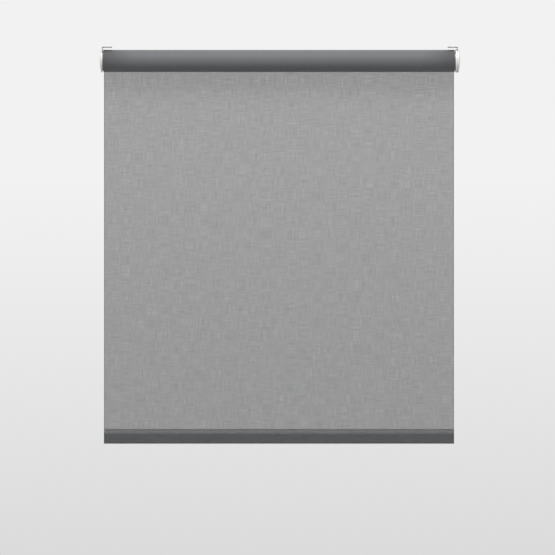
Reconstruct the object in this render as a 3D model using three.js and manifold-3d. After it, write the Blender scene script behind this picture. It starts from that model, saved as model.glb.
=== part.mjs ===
// Chainless roller blind with a battery motor inside its tube, at full size in millimetres.
// Inside this file X starts at the crown of the left bracket cover and runs along the tube,
// Y points back from the tube's axis to the window, and Z points up from the axis.
// The exported group then moves the whole blind so that the origin is the middle of the left
// bracket's top fixing face.
import * as THREE from 'three';
import { mergeVertices } from 'three/addons/utils/BufferGeometryUtils.js';
import Module from 'manifold-3d';

const wasm = await Module();
wasm.setup();

// ---------------------------------------------------------------- driving dimensions

const overallWidth = 845; // crown to crown of the two bracket covers
const hemSeamDrop = 867.6; // tube axis down to the seam at the top of the hem
const fit = 0.3; // clearance between pieces that are fixed to each other
const running = 0.4; // radial clearance of a piece that turns or slides on another
const embed = 0.5; // how far a piece made of two shapes has one sunk in the other

const bracket = {
  sheet: 1.8, // thickness of the pressed steel
  topClearance: 7.7, // wound fabric to the top fixing face
  backClearance: 8.7, // wound fabric to the back fixing face
  flange: 24, // length of both fixing flanges along the tube
  halfDepth: 20, // half the top flange, front to back, and the radius of the web's nose
  backTop: 20,
  backDrop: 14,
  noseStart: THREE.MathUtils.degToRad(-50),
  slotWidth: 4.6,
  slotLength: 9,
  topSlotPitch: 22,
  backSlotPitch: 18,
};

const cover = {
  overhang: 0.7, // past the roll, all round
  depth: 3.8, // crown to just short of the bracket's outer face
  wall: 1.4,
  land: 0.8, // straight part of the rim before the bracket's outer face
};

const tube = { radius: 22.5, wall: 1.4, ribHeight: 1.6, ribWidth: 2.6, motorRoom: 3.6 };

const fabric = {
  thickness: 0.5,
  wound: 3.8, // depth of the wound fabric on the tube
  inset: 0.4, // tube end to fabric edge
  tape: 0.3,
  tapeGap: 0.1,
  tapeArc: THREE.MathUtils.degToRad(38),
};

const hem = {
  height: 32.3,
  thickness: 8.4,
  taper: 6, // seam down to the full thickness
  seamHalf: 0.7,
  barInset: 3,
  barWall: 1.2,
  capPlate: 2.2,
  capSpigot: 8,
};

const idle = {
  webGap: 0.6, // bracket web to the plug's flange
  flange: 1.2,
  plugLength: 40,
  plugWall: 2,
  hubRadius: 9.5,
  pocketDepth: 35.7,
  bushLength: 6.6,
  bushWall: 1.4,
  pinRadius: 4,
  pinProud: 0.7, // how far the pin's tip stands through the bracket web
  collar: 2.5,
  collarRadius: 6.9,
  collarRoom: 0.6, // collar to the wall of the spring chamber
  tailRadius: 2.5,
  tailLength: 28.6,
  capThickness: 3.6,
  springWire: 0.6,
  springRadius: 5,
  springTurns: 6.5,
  springLength: 26.3,
};

const head = {
  flange: 3.8,
  round: 1,
  wall: 1,
  spigotLength: 12,
  spigotWall: 1.2,
  crownGap: 0.5, // head flange to the crown ring's flange
  lugHalf: 8, // half the square lug that stops the motor turning in its bracket
  lugEnd: 1.8, // lug beyond the bracket web
  neckRadius: 6,
  clipSheet: 0.6,
  clipHalf: 10,
};

const button = {
  y: -7,
  radius: 1,
  shoulder: 1.35,
  shoulderLength: 1.5,
  proud: 0.8,
  ledge: 1, // head bore to the end of the shoulder's chamber
  switchGap: 0.5,
  travelRoom: 1, // bore beyond the button's inner end
};

const socket = { y: 5, width: 8, height: 2.4, depth: 5.3, inset: 1.8, wall: 0.3, tongue: 0.6 };

const motor = {
  tubeWall: 1,
  tubeLength: 430,
  crownLength: 14,
  caseLength: 20,
  caseWall: 1,
  endWall: 3,
  bushWall: 2.1,
  shaftRadius: 5,
  squareHalf: 3.5,
  wheelLength: 14,
  wheelGap: 2.6, // motor tube end to the drive wheel
  circlip: 0.6,
  carrierRadius: 13.4,
  carrierDisc: 2,
  pinRadius: 1.5,
  plate: 1.5,
  canRadius: 12,
  canLength: 36,
  canWall: 0.8,
  canFront: 2,
  bellLength: 4,
  armatureRadius: 8,
  armatureLength: 23,
  spindleRadius: 1.15,
  magnet: 2.1,
  magnetArc: THREE.MathUtils.degToRad(120),
  screwCircle: 8.5,
  screwRadius: 1.1,
};

const gears = { width: 6, sun: 12, planet: 18, ring: 48, planets: 3, backlash: 0.12 };
gears.addendum = 0.9; // in modules, as the next one
gears.dedendum = 1.2;

const battery = { cells: 3, radius: 9.2, length: 65, pitch: 67, nub: 1, bulkhead: 2, trough: 1.9 };

const board = { length: 146.8, halfWidth: 10, thickness: 1.6, drop: 5.4, switchDrop: 0.8 };

// ---------------------------------------------------------------- places worked out from them

const rollRadius = tube.radius + fabric.wound;
const coverRadius = rollRadius + cover.overhang; // the motor head's flange has it too
const topFaceZ = rollRadius + bracket.topClearance;
const backFaceY = rollRadius + bracket.backClearance;
const leftWebX = cover.depth + fit;
const plugX = leftWebX + bracket.sheet + idle.webGap;
const tubeStartX = plugX + idle.flange + fit;
const rightWebEndX = overallWidth - leftWebX;
const headEndX = rightWebEndX - bracket.sheet - fit;
const headX = headEndX - head.flange;
const crownEndX = headX - head.crownGap;
const tubeEndX = crownEndX - idle.flange - fit;
const tubeBore = tube.radius - tube.wall;
const plugRadius = tubeBore - fit;
const fabricStartX = tubeStartX + fabric.inset;
const fabricEndX = tubeEndX - fabric.inset;
const sheetY = rollRadius - fabric.thickness / 2;
const motorTubeEndX = headX - running;
const motorTubeX = motorTubeEndX - motor.tubeLength;
const motorTubeRadius = tubeBore - tube.motorRoom;
const motorBore = motorTubeRadius - motor.tubeWall;
const caseRadius = motorBore - fit;
const caseBore = caseRadius - motor.caseWall;
const caseFloorX = motorTubeX + motor.endWall;
const carrierX = caseFloorX + 2 * fit;
const gearX = carrierX + motor.carrierDisc + running;
const gearEndX = gearX + gears.width;
const plateX = gearEndX + 1;
const canX = plateX + motor.plate + fit;
const canEndX = canX + motor.canLength;
const armatureX = canX + 5;
const headBore = caseRadius - head.spigotWall;
const boardZ = -(headBore - board.drop);
const buttonInnerZ = boardZ - board.switchDrop - button.switchGap;
const gearModule = caseBore / (gears.ring / 2 + gears.dedendum + 0.1);
const gearCircle = ((gears.sun + gears.planet) * gearModule) / 2;

// ---------------------------------------------------------------- materials

const paint = (color, roughness, metalness = 0) =>
  new THREE.MeshStandardMaterial({ color, roughness, metalness });

const whitePlastic = () => paint(0xf1f1ef, 0.4);
const whiteSteel = () => paint(0xeeeeec, 0.35, 0.1);
const greyVoile = () => paint(0x5f6062, 0.9);
const aluminium = () => paint(0xb9bcc0, 0.35, 0.9);
const springSteel = () => paint(0x8f9398, 0.3, 1);
const bronze = () => paint(0xb08a4a, 0.4, 1);
const blackPlastic = () => paint(0x2b2c2e, 0.5);
const creamNylon = () => paint(0xe6e1d2, 0.5);
const greenBoard = () => paint(0x1f5a3a, 0.5);
const cellSleeve = () => paint(0x2f6fae, 0.4);

// ---------------------------------------------------------------- shape helpers

/** Turns a closed three.js geometry into a manifold solid, without its zero-area triangles. */
function solid(geometry) {
  const bare = geometry.clone();
  bare.deleteAttribute('normal');
  bare.deleteAttribute('uv');
  const merged = mergeVertices(bare, 1e-4);
  const corners = merged.index.array;
  const triVerts = [];
  for (let i = 0; i < corners.length; i += 3) {
    const [a, b, c] = [corners[i], corners[i + 1], corners[i + 2]];
    if (a !== b && b !== c && c !== a) triVerts.push(a, b, c);
  }
  return new wasm.Manifold(
    new wasm.Mesh({
      numProp: 3,
      vertProperties: Float32Array.from(merged.attributes.position.array),
      triVerts: Uint32Array.from(triVerts),
    }),
  );
}

/** Turns a manifold solid back into a three.js geometry. */
function geometryOf(manifold) {
  const { vertProperties, triVerts } = manifold.getMesh();
  const geometry = new THREE.BufferGeometry();
  geometry.setAttribute('position', new THREE.BufferAttribute(vertProperties, 3));
  geometry.setIndex(new THREE.BufferAttribute(triVerts, 1));
  geometry.computeVertexNormals();
  return geometry;
}

/** Joins the first geometry with the rest. */
function joined(first, ...rest) {
  return geometryOf(rest.reduce((whole, more) => whole.add(solid(more)), solid(first)));
}

/** Cuts every other geometry out of the first. */
function cut(first, ...rest) {
  return geometryOf(rest.reduce((whole, less) => whole.subtract(solid(less)), solid(first)));
}

/** A box from its low and high faces along each axis. */
function block([x0, x1], [y0, y1], [z0, z1]) {
  const geometry = new THREE.BoxGeometry(x1 - x0, y1 - y0, z1 - z0);
  return geometry.translate((x0 + x1) / 2, (y0 + y1) / 2, (z0 + z1) / 2);
}

const axes = {
  x: new THREE.Vector3(1, 0, 0),
  y: new THREE.Vector3(0, 1, 0),
  z: new THREE.Vector3(0, 0, 1),
};

/** Extrudes a shape drawn in Y and Z along X. */
function alongX(shape, x0, x1, curveSegments = 12) {
  const geometry = new THREE.ExtrudeGeometry(shape, {
    depth: x1 - x0,
    bevelEnabled: false,
    curveSegments,
  });
  geometry.applyMatrix4(new THREE.Matrix4().makeBasis(axes.y, axes.z, axes.x));
  return geometry.translate(x0, 0, 0);
}

/** Turns a closed profile of [place along the axis, radius] points about X or Z. */
function turned(profile, segments = 32, axis = 'x') {
  const area = profile.reduce((sum, [u, r], i) => {
    const [nextU, nextR] = profile[(i + 1) % profile.length];
    return sum + r * nextU - nextR * u;
  }, 0);
  const ordered = area < 0 ? [...profile].reverse() : profile;
  const points = ordered.map(([u, r]) => new THREE.Vector2(r, u));
  const geometry = new THREE.LatheGeometry(points, segments);
  const basis = axis === 'x' ? [axes.z, axes.x, axes.y] : [axes.y, axes.z, axes.x];
  return geometry.applyMatrix4(new THREE.Matrix4().makeBasis(...basis));
}

/** A solid round bar about X. */
const rod = (radius, x0, x1, segments = 24) =>
  turned([[x0, 0], [x0, radius], [x1, radius], [x1, 0]], segments);

/** A round sleeve about X. */
function sleeve(bore, radius, x0, x1, segments = 36) {
  return turned([[x0, bore], [x0, radius], [x1, radius], [x1, bore], [x0, bore]], segments);
}

/** Part of a ring between two radii, drawn in Y and Z about the axis. */
function ringSector(bore, radius, start, end) {
  const shape = new THREE.Shape();
  shape.absarc(0, 0, radius, start, end, false);
  shape.absarc(0, 0, bore, end, start, true);
  shape.closePath();
  return shape;
}

/** A slot with round ends, centred on a point and running along the second coordinate. */
function slotPath(u, v, width, length) {
  const r = width / 2;
  const reach = length / 2 - r;
  const path = new THREE.Path();
  path.absarc(u, v + reach, r, 0, Math.PI, false);
  path.absarc(u, v - reach, r, Math.PI, 2 * Math.PI, false);
  path.closePath();
  return path;
}

/** A rectangle drawn in two coordinates. */
function rectangle([u0, u1], [v0, v1]) {
  const corners = [[u0, v0], [u1, v0], [u1, v1], [u0, v1]];
  return new THREE.Shape(corners.map(([u, v]) => new THREE.Vector2(u, v)));
}

/** Low and high X of a stretch that is measured inwards from one end's cover crown. */
function fromEnd(side, near, far) {
  return side === 'left' ? [near, far] : [overallWidth - far, overallWidth - near];
}

// ---------------------------------------------------------------- brackets and covers

/** Outline of a bracket's web, grown by an offset. */
function webOutline(offset) {
  const half = bracket.halfDepth + offset;
  const outline = new THREE.Shape();
  outline.moveTo(-half, topFaceZ + offset);
  outline.lineTo(half, topFaceZ + offset);
  outline.lineTo(backFaceY + offset, bracket.backTop + offset);
  outline.lineTo(backFaceY + offset, -bracket.backDrop - offset);
  outline.absarc(0, 0, half, bracket.noseStart, -Math.PI, true);
  outline.closePath();
  return outline;
}

/** One pressed steel bracket: a web across the tube's end and two slotted fixing flanges. */
function bracketGeometry(side, hole) {
  const { sheet, halfDepth, backTop, backDrop } = bracket;
  const outline = webOutline(0);
  outline.holes.push(hole);
  const web = alongX(outline, ...fromEnd(side, leftWebX, leftWebX + sheet));

  const length = fromEnd(side, leftWebX, leftWebX + bracket.flange);
  const middle = (length[0] + length[1]) / 2;
  const top = rectangle(length, [-halfDepth, halfDepth]);
  const back = rectangle(length, [-backDrop, backTop]);
  for (const way of [-1, 1]) {
    const topV = (way * bracket.topSlotPitch) / 2;
    const backV = (backTop - backDrop) / 2 + (way * bracket.backSlotPitch) / 2;
    top.holes.push(slotPath(middle, topV, bracket.slotWidth, bracket.slotLength));
    back.holes.push(slotPath(middle, backV, bracket.slotWidth, bracket.slotLength));
  }
  const press = { depth: sheet, bevelEnabled: false, curveSegments: 4 };
  const topPlate = new THREE.ExtrudeGeometry(top, press).translate(0, 0, topFaceZ - sheet);
  const backPlate = new THREE.ExtrudeGeometry(back, press).rotateX(Math.PI / 2);
  return joined(web, topPlate, backPlate.translate(0, backFaceY, 0));
}

/** The round hole for the idle pin. */
function pinHole() {
  const path = new THREE.Path();
  path.absarc(0, 0, idle.pinRadius + running, 0, 2 * Math.PI, false);
  return path;
}

/** The square hole that keeps the motor head from turning. */
const lugHole = () => {
  const half = head.lugHalf + fit;
  return rectangle([-half, half], [-half, half]);
};

/** A shallow domed cap that hides the outer side of a bracket, with a skirt round its edge. */
function coverGeometry(side) {
  const rise = cover.depth - cover.land;
  const sphere = (coverRadius ** 2 + rise ** 2) / (2 * rise);
  const dome = (r) => sphere - Math.sqrt(sphere ** 2 - r ** 2);
  const hollowRadius = coverRadius - cover.wall;
  const skirtEnd = leftWebX + bracket.sheet - fit;
  const steps = 4;
  const outside = [];
  const inside = [];
  for (let i = 0; i <= steps; i += 1) {
    const outer = (coverRadius * i) / steps;
    const inner = hollowRadius * (1 - i / steps);
    outside.push([dome(outer), outer]);
    inside.push([dome(inner) + cover.wall, inner]);
  }
  const profile = [...outside, [skirtEnd, coverRadius], [skirtEnd, hollowRadius], ...inside];
  const cap = turned(side === 'left' ? profile : profile.map(([u, r]) => [overallWidth - u, r]));
  return cut(cap, alongX(webOutline(fit), ...fromEnd(side, leftWebX - fit, skirtEnd + 1)));
}

// ---------------------------------------------------------------- tube, fabric and hem

/** The two keys along the inside of the tube, or the slots that pass them. */
function tubeKeys(x0, x1, clearance = 0) {
  const half = tube.ribWidth / 2 + clearance;
  const low = tubeBore - tube.ribHeight - clearance;
  const high = tubeBore + embed;
  return [1, -1].map((way) => block([x0, x1], [-half, half], [way * low, way * high].sort((a, b) => a - b)));
}

const rollerTube = () =>
  joined(sleeve(tubeBore, tube.radius, tubeStartX, tubeEndX, 48), ...tubeKeys(tubeStartX, tubeEndX));

/** Double-sided tape that holds the fabric's top edge on the tube. */
function fixingTape() {
  const bore = tube.radius + fabric.tapeGap;
  const start = Math.PI / 2 - fabric.tapeArc / 2;
  const strip = ringSector(bore, bore + fabric.tape, start, start + fabric.tapeArc);
  return alongX(strip, fabricStartX, fabricEndX, 4);
}

/** The fabric that is still wound on the tube. */
function fabricRoll() {
  const bore = tube.radius + fabric.tapeGap + fabric.tape + fit;
  return sleeve(bore, rollRadius, fabricStartX, fabricEndX, 64);
}

/** The flat fabric between the roll and the hem's seam. */
function fabricPanel() {
  const inner = rollRadius - fabric.thickness;
  const top = -Math.sqrt(rollRadius ** 2 - (inner - fit) ** 2);
  const depth = [inner, rollRadius];
  return block([fabricStartX, fabricEndX], depth, [-hemSeamDrop + fit, top]);
}

/** Outline of the hem pocket, narrow at the seam and round below, pulled in by an offset. */
function hemOutline(offset) {
  const half = hem.thickness / 2 - offset;
  const centre = -hemSeamDrop - hem.height + hem.thickness / 2;
  const seam = Math.max(hem.seamHalf - offset, 0.1);
  const outline = new THREE.Shape();
  outline.moveTo(sheetY + seam, -hemSeamDrop - offset);
  outline.lineTo(sheetY - seam, -hemSeamDrop - offset);
  outline.lineTo(sheetY - half, -hemSeamDrop - hem.taper);
  outline.absarc(sheetY, centre, half, Math.PI, 2 * Math.PI, false);
  outline.lineTo(sheetY + half, -hemSeamDrop - hem.taper);
  outline.closePath();
  return outline;
}

/** The fabric loop that the bottom bar slides into. */
function hemPocket() {
  const outline = hemOutline(0);
  outline.holes.push(hemOutline(fabric.thickness));
  return alongX(outline, fabricStartX, fabricEndX, 6);
}

/** Outline of the bottom bar, a flat oval, pulled in by an offset. */
function barOutline(offset) {
  const outer = hem.thickness / 2 - fabric.thickness - fit;
  const low = -hemSeamDrop - hem.height + hem.thickness / 2;
  const high = -hemSeamDrop - hem.taper - outer;
  const outline = new THREE.Shape();
  outline.absarc(sheetY, high, outer - offset, 0, Math.PI, false);
  outline.absarc(sheetY, low, outer - offset, Math.PI, 2 * Math.PI, false);
  outline.closePath();
  return outline;
}

const barX = [fabricStartX + hem.barInset, fabricEndX - hem.barInset];

/** The aluminium bottom bar, a drawn oval tube. */
function bottomBar() {
  const outline = barOutline(0);
  outline.holes.push(barOutline(hem.barWall));
  return alongX(outline, ...barX, 5);
}

/** A plug with a flat head that closes one end of the bottom bar. */
function barCap(side) {
  const way = side === 'left' ? -1 : 1;
  const face = side === 'left' ? barX[0] : barX[1];
  const plate = [face + way * fit, face + way * hem.capPlate].sort((a, b) => a - b);
  const spigot = [face + way * (fit + embed), face - way * hem.capSpigot].sort((a, b) => a - b);
  const plug = alongX(barOutline(hem.barWall + fit), ...spigot, 5);
  return joined(alongX(barOutline(0), ...plate, 5), plug);
}

// ---------------------------------------------------------------- idle end

const bushEndX = plugX + idle.bushLength + fit;
const collarX = bushEndX + running;
const bushRadius = idle.pinRadius + running + idle.bushWall;
const chamberRadius = idle.collarRadius + idle.collarRoom;
const springX = collarX + idle.collar + fit;
const springEndX = springX + idle.springLength;
const capX = springEndX + fit;

/** The plastic plug pressed into the tube's left end. */
function idlePlug() {
  const end = plugX + idle.flange + idle.plugLength;
  const wall = plugRadius - idle.plugWall;
  const pocket = end - idle.pocketDepth;
  const bore = bushRadius + fit;
  const profile = [
    [plugX, bore],
    [plugX, tube.radius - fit],
    [plugX + idle.flange, tube.radius - fit],
    [plugX + idle.flange, plugRadius],
    [end, plugRadius],
    [end, wall],
    [pocket, wall],
    [pocket, idle.hubRadius],
    [end, idle.hubRadius],
    [end, chamberRadius],
    [bushEndX, chamberRadius],
    [bushEndX, bore],
    [plugX, bore],
  ];
  return cut(turned(profile), ...tubeKeys(plugX + idle.flange, end + embed, fit));
}

const idleBush = () =>
  sleeve(idle.pinRadius + running, bushRadius, plugX, plugX + idle.bushLength, 20);

const springCap = () =>
  sleeve(idle.tailRadius + running, chamberRadius - fit, capX, capX + idle.capThickness, 20);

/** The sprung steel pin that hangs in the left bracket. */
function idlePin() {
  const tip = leftWebX - idle.pinProud;
  const shoulder = collarX + idle.collar;
  const profile = [
    [tip, 0],
    [tip, idle.pinRadius - idle.pinProud],
    [tip + idle.pinProud, idle.pinRadius],
    [collarX, idle.pinRadius],
    [collarX, idle.collarRadius],
    [shoulder, idle.collarRadius],
    [shoulder, idle.tailRadius],
    [shoulder + idle.tailLength, idle.tailRadius],
    [shoulder + idle.tailLength, 0],
  ];
  return turned(profile, 20);
}

/** Centre line of a helix about X. */
class Helix extends THREE.Curve {
  constructor(x0, x1, radius, turns) {
    super();
    Object.assign(this, { x0, x1, radius, turns });
  }

  getPoint(t, target = new THREE.Vector3()) {
    const angle = 2 * Math.PI * this.turns * t;
    const x = THREE.MathUtils.lerp(this.x0, this.x1, t);
    return target.set(x, this.radius * Math.cos(angle), this.radius * Math.sin(angle));
  }
}

/** The compression spring behind the idle pin's collar. */
function idleSpring() {
  const wire = new THREE.Shape();
  wire.absarc(0, 0, idle.springWire, 0, 2 * Math.PI, false);
  const start = springX + idle.springWire;
  const end = springEndX - idle.springWire;
  const path = new Helix(start, end, idle.springRadius, idle.springTurns);
  const steps = Math.round(idle.springTurns * 12);
  return new THREE.ExtrudeGeometry(wire, {
    steps,
    extrudePath: path,
    bevelEnabled: false,
    curveSegments: 3,
  });
}

// ---------------------------------------------------------------- motor head

/** The white plastic head that holds the motor in the right bracket. */
function motorHead() {
  const floor = headEndX - head.wall;
  const { round } = head;
  const rim = [];
  for (let i = 0; i <= 2; i += 1) {
    const angle = (Math.PI * i) / 4;
    rim.push([headX + round * (1 - Math.cos(angle)), coverRadius - round * (1 - Math.sin(angle))]);
  }
  const mirrored = rim.map(([u, r]) => [headX + headEndX - u, r]).reverse();
  const profile = [
    [floor, 0],
    [floor, headBore],
    [headX - head.spigotLength, headBore],
    [headX - head.spigotLength, caseRadius],
    [headX, caseRadius],
    ...rim,
    ...mirrored,
    [headEndX, 0],
  ];
  const half = head.lugHalf;
  const lugEndX = rightWebEndX + head.lugEnd;
  const lug = block([headEndX - embed, lugEndX], [-half, half], [-half, half]);
  const grooveX = rightWebEndX + head.clipSheet / 2 - 0.1;
  const groove = sleeve(head.neckRadius, 2 * half, grooveX, grooveX + head.clipSheet + fit, 20);
  const body = joined(turned(profile, 48), geometryOf(solid(lug).subtract(solid(groove))));
  return cut(body, socketPocket(), ...buttonBore());
}

const headMiddleX = (headX + headEndX) / 2;
const socketMouthZ = -(coverRadius - socket.inset);
const buttonSeatZ = -(headBore + button.ledge);

/** The pocket in the head's rim for the charging socket. */
function socketPocket() {
  const halfX = socket.height / 2 + 0.2;
  const halfY = socket.width / 2 + fit;
  const top = socketMouthZ + socket.depth + fit;
  return block(
    [headMiddleX - halfX, headMiddleX + halfX],
    [socket.y - halfY, socket.y + halfY],
    [-coverRadius - 1, top],
  );
}

/** The charging socket: a thin metal shell with a tongue, closed at its inner end. */
function chargeSocket() {
  const span = (half, middle) => [middle - half, middle + half];
  const { width, height, depth, wall, tongue } = socket;
  const shell = block(span(height / 2, headMiddleX), span(width / 2, socket.y), [
    socketMouthZ,
    socketMouthZ + depth,
  ]);
  const mouth = block(
    span(height / 2 - wall, headMiddleX),
    span(width / 2 - wall, socket.y),
    [socketMouthZ - 1, socketMouthZ + depth - 1],
  );
  const blade = block(
    span(tongue / 2, headMiddleX),
    span(width / 2 - 4 * wall, socket.y),
    [socketMouthZ + 1, socketMouthZ + depth - embed],
  );
  return geometryOf(solid(shell).subtract(solid(mouth)).add(solid(blade)));
}

/** The button's guide hole and the wider chamber for its shoulder. */
function buttonBore() {
  const hole = (radius, z0, z1) =>
    turned([[z0, 0], [z0, radius], [z1, radius], [z1, 0]], 12, 'z').translate(headMiddleX, button.y, 0);
  const top = buttonInnerZ + button.travelRoom;
  return [
    hole(button.radius + fit, -coverRadius - 1, top),
    hole(button.shoulder + fit, buttonSeatZ, top),
  ];
}

/** The setting button under the motor head. */
function setButton() {
  const rimZ = -Math.sqrt(coverRadius ** 2 - button.y ** 2);
  const tip = rimZ - button.proud;
  const seat = buttonSeatZ + fit;
  const round = 0.4;
  const profile = [
    [tip, 0],
    [tip, button.radius - round],
    [tip + round, button.radius],
    [seat, button.radius],
    [seat, button.shoulder],
    [seat + button.shoulderLength, button.shoulder],
    [seat + button.shoulderLength, button.radius],
    [buttonInnerZ, button.radius],
    [buttonInnerZ, 0],
  ];
  return turned(profile, 12, 'z').translate(headMiddleX, button.y, 0);
}

/** The spring-steel fork that keeps the head's lug in the right bracket. */
function motorClip() {
  const slot = head.neckRadius + fit;
  const half = head.clipHalf;
  const shape = new THREE.Shape();
  shape.moveTo(-half, -half);
  shape.lineTo(-slot, -half);
  shape.absarc(0, 0, slot, Math.PI, 0, true);
  shape.lineTo(slot, -half);
  shape.lineTo(half, -half);
  shape.lineTo(half, half);
  shape.lineTo(-half, half);
  shape.closePath();
  const x = rightWebEndX + head.clipSheet / 2 + 0.1;
  return alongX(shape, x, x + head.clipSheet - 0.1, 6);
}

// ---------------------------------------------------------------- motor and gear case

/** The idler ring that carries the tube's right end round the motor. */
function crownRing() {
  const bore = motorTubeRadius + running;
  const start = crownEndX - idle.flange - motor.crownLength;
  const body = sleeve(bore, plugRadius, start, crownEndX - embed);
  const flange = sleeve(bore, tube.radius - fit, crownEndX - idle.flange, crownEndX);
  return cut(joined(body, flange), ...tubeKeys(start - embed, crownEndX - idle.flange, fit));
}

/** Outline of an involute gear, turned so that a tooth stands on the first axis. */
function gearOutline(teeth, addendum, dedendum, thin, flankSteps, turn = 0) {
  const pitchRadius = (teeth * gearModule) / 2;
  const baseRadius = pitchRadius * Math.cos(THREE.MathUtils.degToRad(20));
  const involute = (r) => {
    const angle = Math.acos(Math.min(1, baseRadius / r));
    return Math.tan(angle) - angle;
  };
  const low = pitchRadius - dedendum * gearModule;
  const high = pitchRadius + addendum * gearModule;
  const halfTooth = Math.PI / (2 * teeth) - thin / (2 * pitchRadius);
  const flank = [];
  for (let i = 0; i <= flankSteps; i += 1) {
    const r = low + ((high - low) * i) / flankSteps;
    flank.push([r, halfTooth + involute(pitchRadius) - involute(r)]);
  }
  const points = [];
  for (let tooth = 0; tooth < teeth; tooth += 1) {
    const middle = turn + (2 * Math.PI * tooth) / teeth;
    const rising = flank.map(([r, half]) => [r, middle - half]);
    const falling = flank.map(([r, half]) => [r, middle + half]).reverse();
    for (const [r, angle] of [...rising, ...falling]) {
      points.push(new THREE.Vector2(r * Math.cos(angle), r * Math.sin(angle)));
    }
  }
  return points;
}

/** A spur gear with a round bore. */
function gear(teeth, bore, x0, x1, turn) {
  const { addendum, dedendum, backlash } = gears;
  const shape = new THREE.Shape(gearOutline(teeth, addendum, dedendum, backlash, 2, turn));
  const hole = new THREE.Path();
  hole.absarc(0, 0, bore, 0, 2 * Math.PI, false);
  shape.holes.push(hole);
  return alongX(shape, x0, x1, 6);
}

/** The gear case, with the ring gear cut on its inside. */
function gearCase() {
  const bearing = motor.shaftRadius + running + motor.bushWall + fit;
  const end = motorTubeX + motor.caseLength;
  const shell = turned(
    [
      [motorTubeX, bearing],
      [motorTubeX, caseRadius],
      [end, caseRadius],
      [end, caseBore],
      [caseFloorX, caseBore],
      [caseFloorX, bearing],
      [motorTubeX, bearing],
    ],
    36,
  );
  const ring = new THREE.Shape();
  ring.absarc(0, 0, caseBore + motor.caseWall / 2, 0, 2 * Math.PI, false);
  const { ring: teeth, addendum, dedendum, backlash } = gears;
  const space = gearOutline(teeth, dedendum, addendum, -backlash, 1, Math.PI / teeth);
  ring.holes.push(new THREE.Path(space));
  return joined(shell, alongX(ring, gearX - 0.2, gearEndX + 0.2, 18));
}

const outputBush = () => {
  const bore = motor.shaftRadius + running;
  return sleeve(bore, bore + motor.bushWall, motorTubeX + fit, caseFloorX, 20);
};

const wheelEndX = motorTubeX - motor.wheelGap;
const wheelX = wheelEndX - motor.wheelLength;
const circlipX = wheelX - fit - motor.circlip;

/** The planet carrier: a disc with three pins, and the shaft that drives the wheel. */
function planetCarrier() {
  const half = motor.squareHalf;
  const shaft = rod(motor.shaftRadius, wheelEndX + fit, carrierX + embed, 20);
  const disc = rod(motor.carrierRadius, carrierX, carrierX + motor.carrierDisc, 32);
  const square = block([circlipX - 1, wheelEndX + 1], [-half, half], [-half, half]);
  const groove = sleeve(half, 2 * half, circlipX - 0.1, circlipX + motor.circlip + 0.1, 16);
  const stub = geometryOf(solid(square).subtract(solid(groove)));
  return joined(shaft, disc, stub, ...planetPlaces().map(([y, z]) => {
    const pin = rod(motor.pinRadius, carrierX + embed, gearEndX + running, 12);
    return pin.translate(0, y, z);
  }));
}

/** Centres of the planets about the axis, as [y, z]. */
function planetPlaces() {
  return Array.from({ length: gears.planets }, (_, i) => {
    const angle = (2 * Math.PI * i) / gears.planets;
    return [gearCircle * Math.cos(angle), gearCircle * Math.sin(angle)];
  });
}

/** One planet, turned so that it meshes with the sun and the ring where it stands. */
function planetGear(index) {
  const [y, z] = planetPlaces()[index];
  const turn = (2 * Math.PI * index) / gears.planets + Math.PI / gears.planet;
  return gear(gears.planet, motor.pinRadius + running, gearX, gearEndX, turn).translate(0, y, z);
}

/** The wheel that carries the motor's turning to the tube's keys. */
function driveWheel() {
  const half = motor.squareHalf + fit;
  const wheel = rod(plugRadius, wheelX, wheelEndX, 40);
  const bore = block([wheelX - 1, wheelEndX + 1], [-half, half], [-half, half]);
  const holes = [0, 1, 2, 3].map((i) => {
    const angle = Math.PI / 4 + (Math.PI * i) / 2;
    const hole = rod(3.4, wheelX - 1, wheelEndX + 1, 12);
    return hole.translate(0, 13 * Math.cos(angle), 13 * Math.sin(angle));
  });
  return cut(wheel, bore, ...holes, ...tubeKeys(wheelX - 1, wheelEndX + 1, fit));
}

/** The open ring that keeps the drive wheel on its shaft. */
function circlip() {
  const bore = motor.squareHalf + fit / 2;
  const ring = ringSector(bore, bore + 2.2, -Math.PI / 3, (4 * Math.PI) / 3);
  return alongX(ring, circlipX + 0.05, circlipX + motor.circlip - 0.05, 9);
}

/** A countersunk screw, or with a clearance the hole that takes it. */
function screwGeometry(index, clearance = 0) {
  const { screwRadius: r } = motor;
  const start = plateX - clearance + 0.1;
  const profile = [
    [start, 0],
    [start, 2 * r + clearance],
    [start + r, r + clearance],
    [canX + motor.canFront + 1.5 + clearance, r + clearance],
    [canX + motor.canFront + 1.5 + clearance, 0],
  ];
  return turned(profile, 12).translate(0, 0, (index === 0 ? 1 : -1) * motor.screwCircle);
}

/** The plate that carries the small motor on the gear case. */
function motorPlate() {
  const pass = (gears.sun * gearModule) / 2 + 1.2;
  const plate = sleeve(pass, caseBore - fit, plateX, plateX + motor.plate, 32);
  return cut(plate, screwGeometry(0, fit), screwGeometry(1, fit));
}

/** The small motor's steel can, open at the back. */
function motorCan() {
  const bore = motor.spindleRadius + 1;
  const inner = motor.canRadius - motor.canWall;
  const front = canX + motor.canFront;
  const profile = [
    [canX, bore],
    [canX, motor.canRadius],
    [canEndX, motor.canRadius],
    [canEndX, inner],
    [front, inner],
    [front, bore],
    [canX, bore],
  ];
  return cut(turned(profile), screwGeometry(0, fit), screwGeometry(1, fit));
}

const endBell = () =>
  sleeve(motor.spindleRadius + running, motor.canRadius, canEndX + fit, canEndX + motor.bellLength, 32);

/** One curved magnet inside the can, above or below the armature. */
function magnet(way) {
  const outer = motor.canRadius - motor.canWall - fit;
  const start = (way * Math.PI) / 2 - motor.magnetArc / 2;
  const sector = ringSector(outer - motor.magnet, outer, start, start + motor.magnetArc);
  return alongX(sector, armatureX, armatureX + motor.armatureLength, 6);
}

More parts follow.
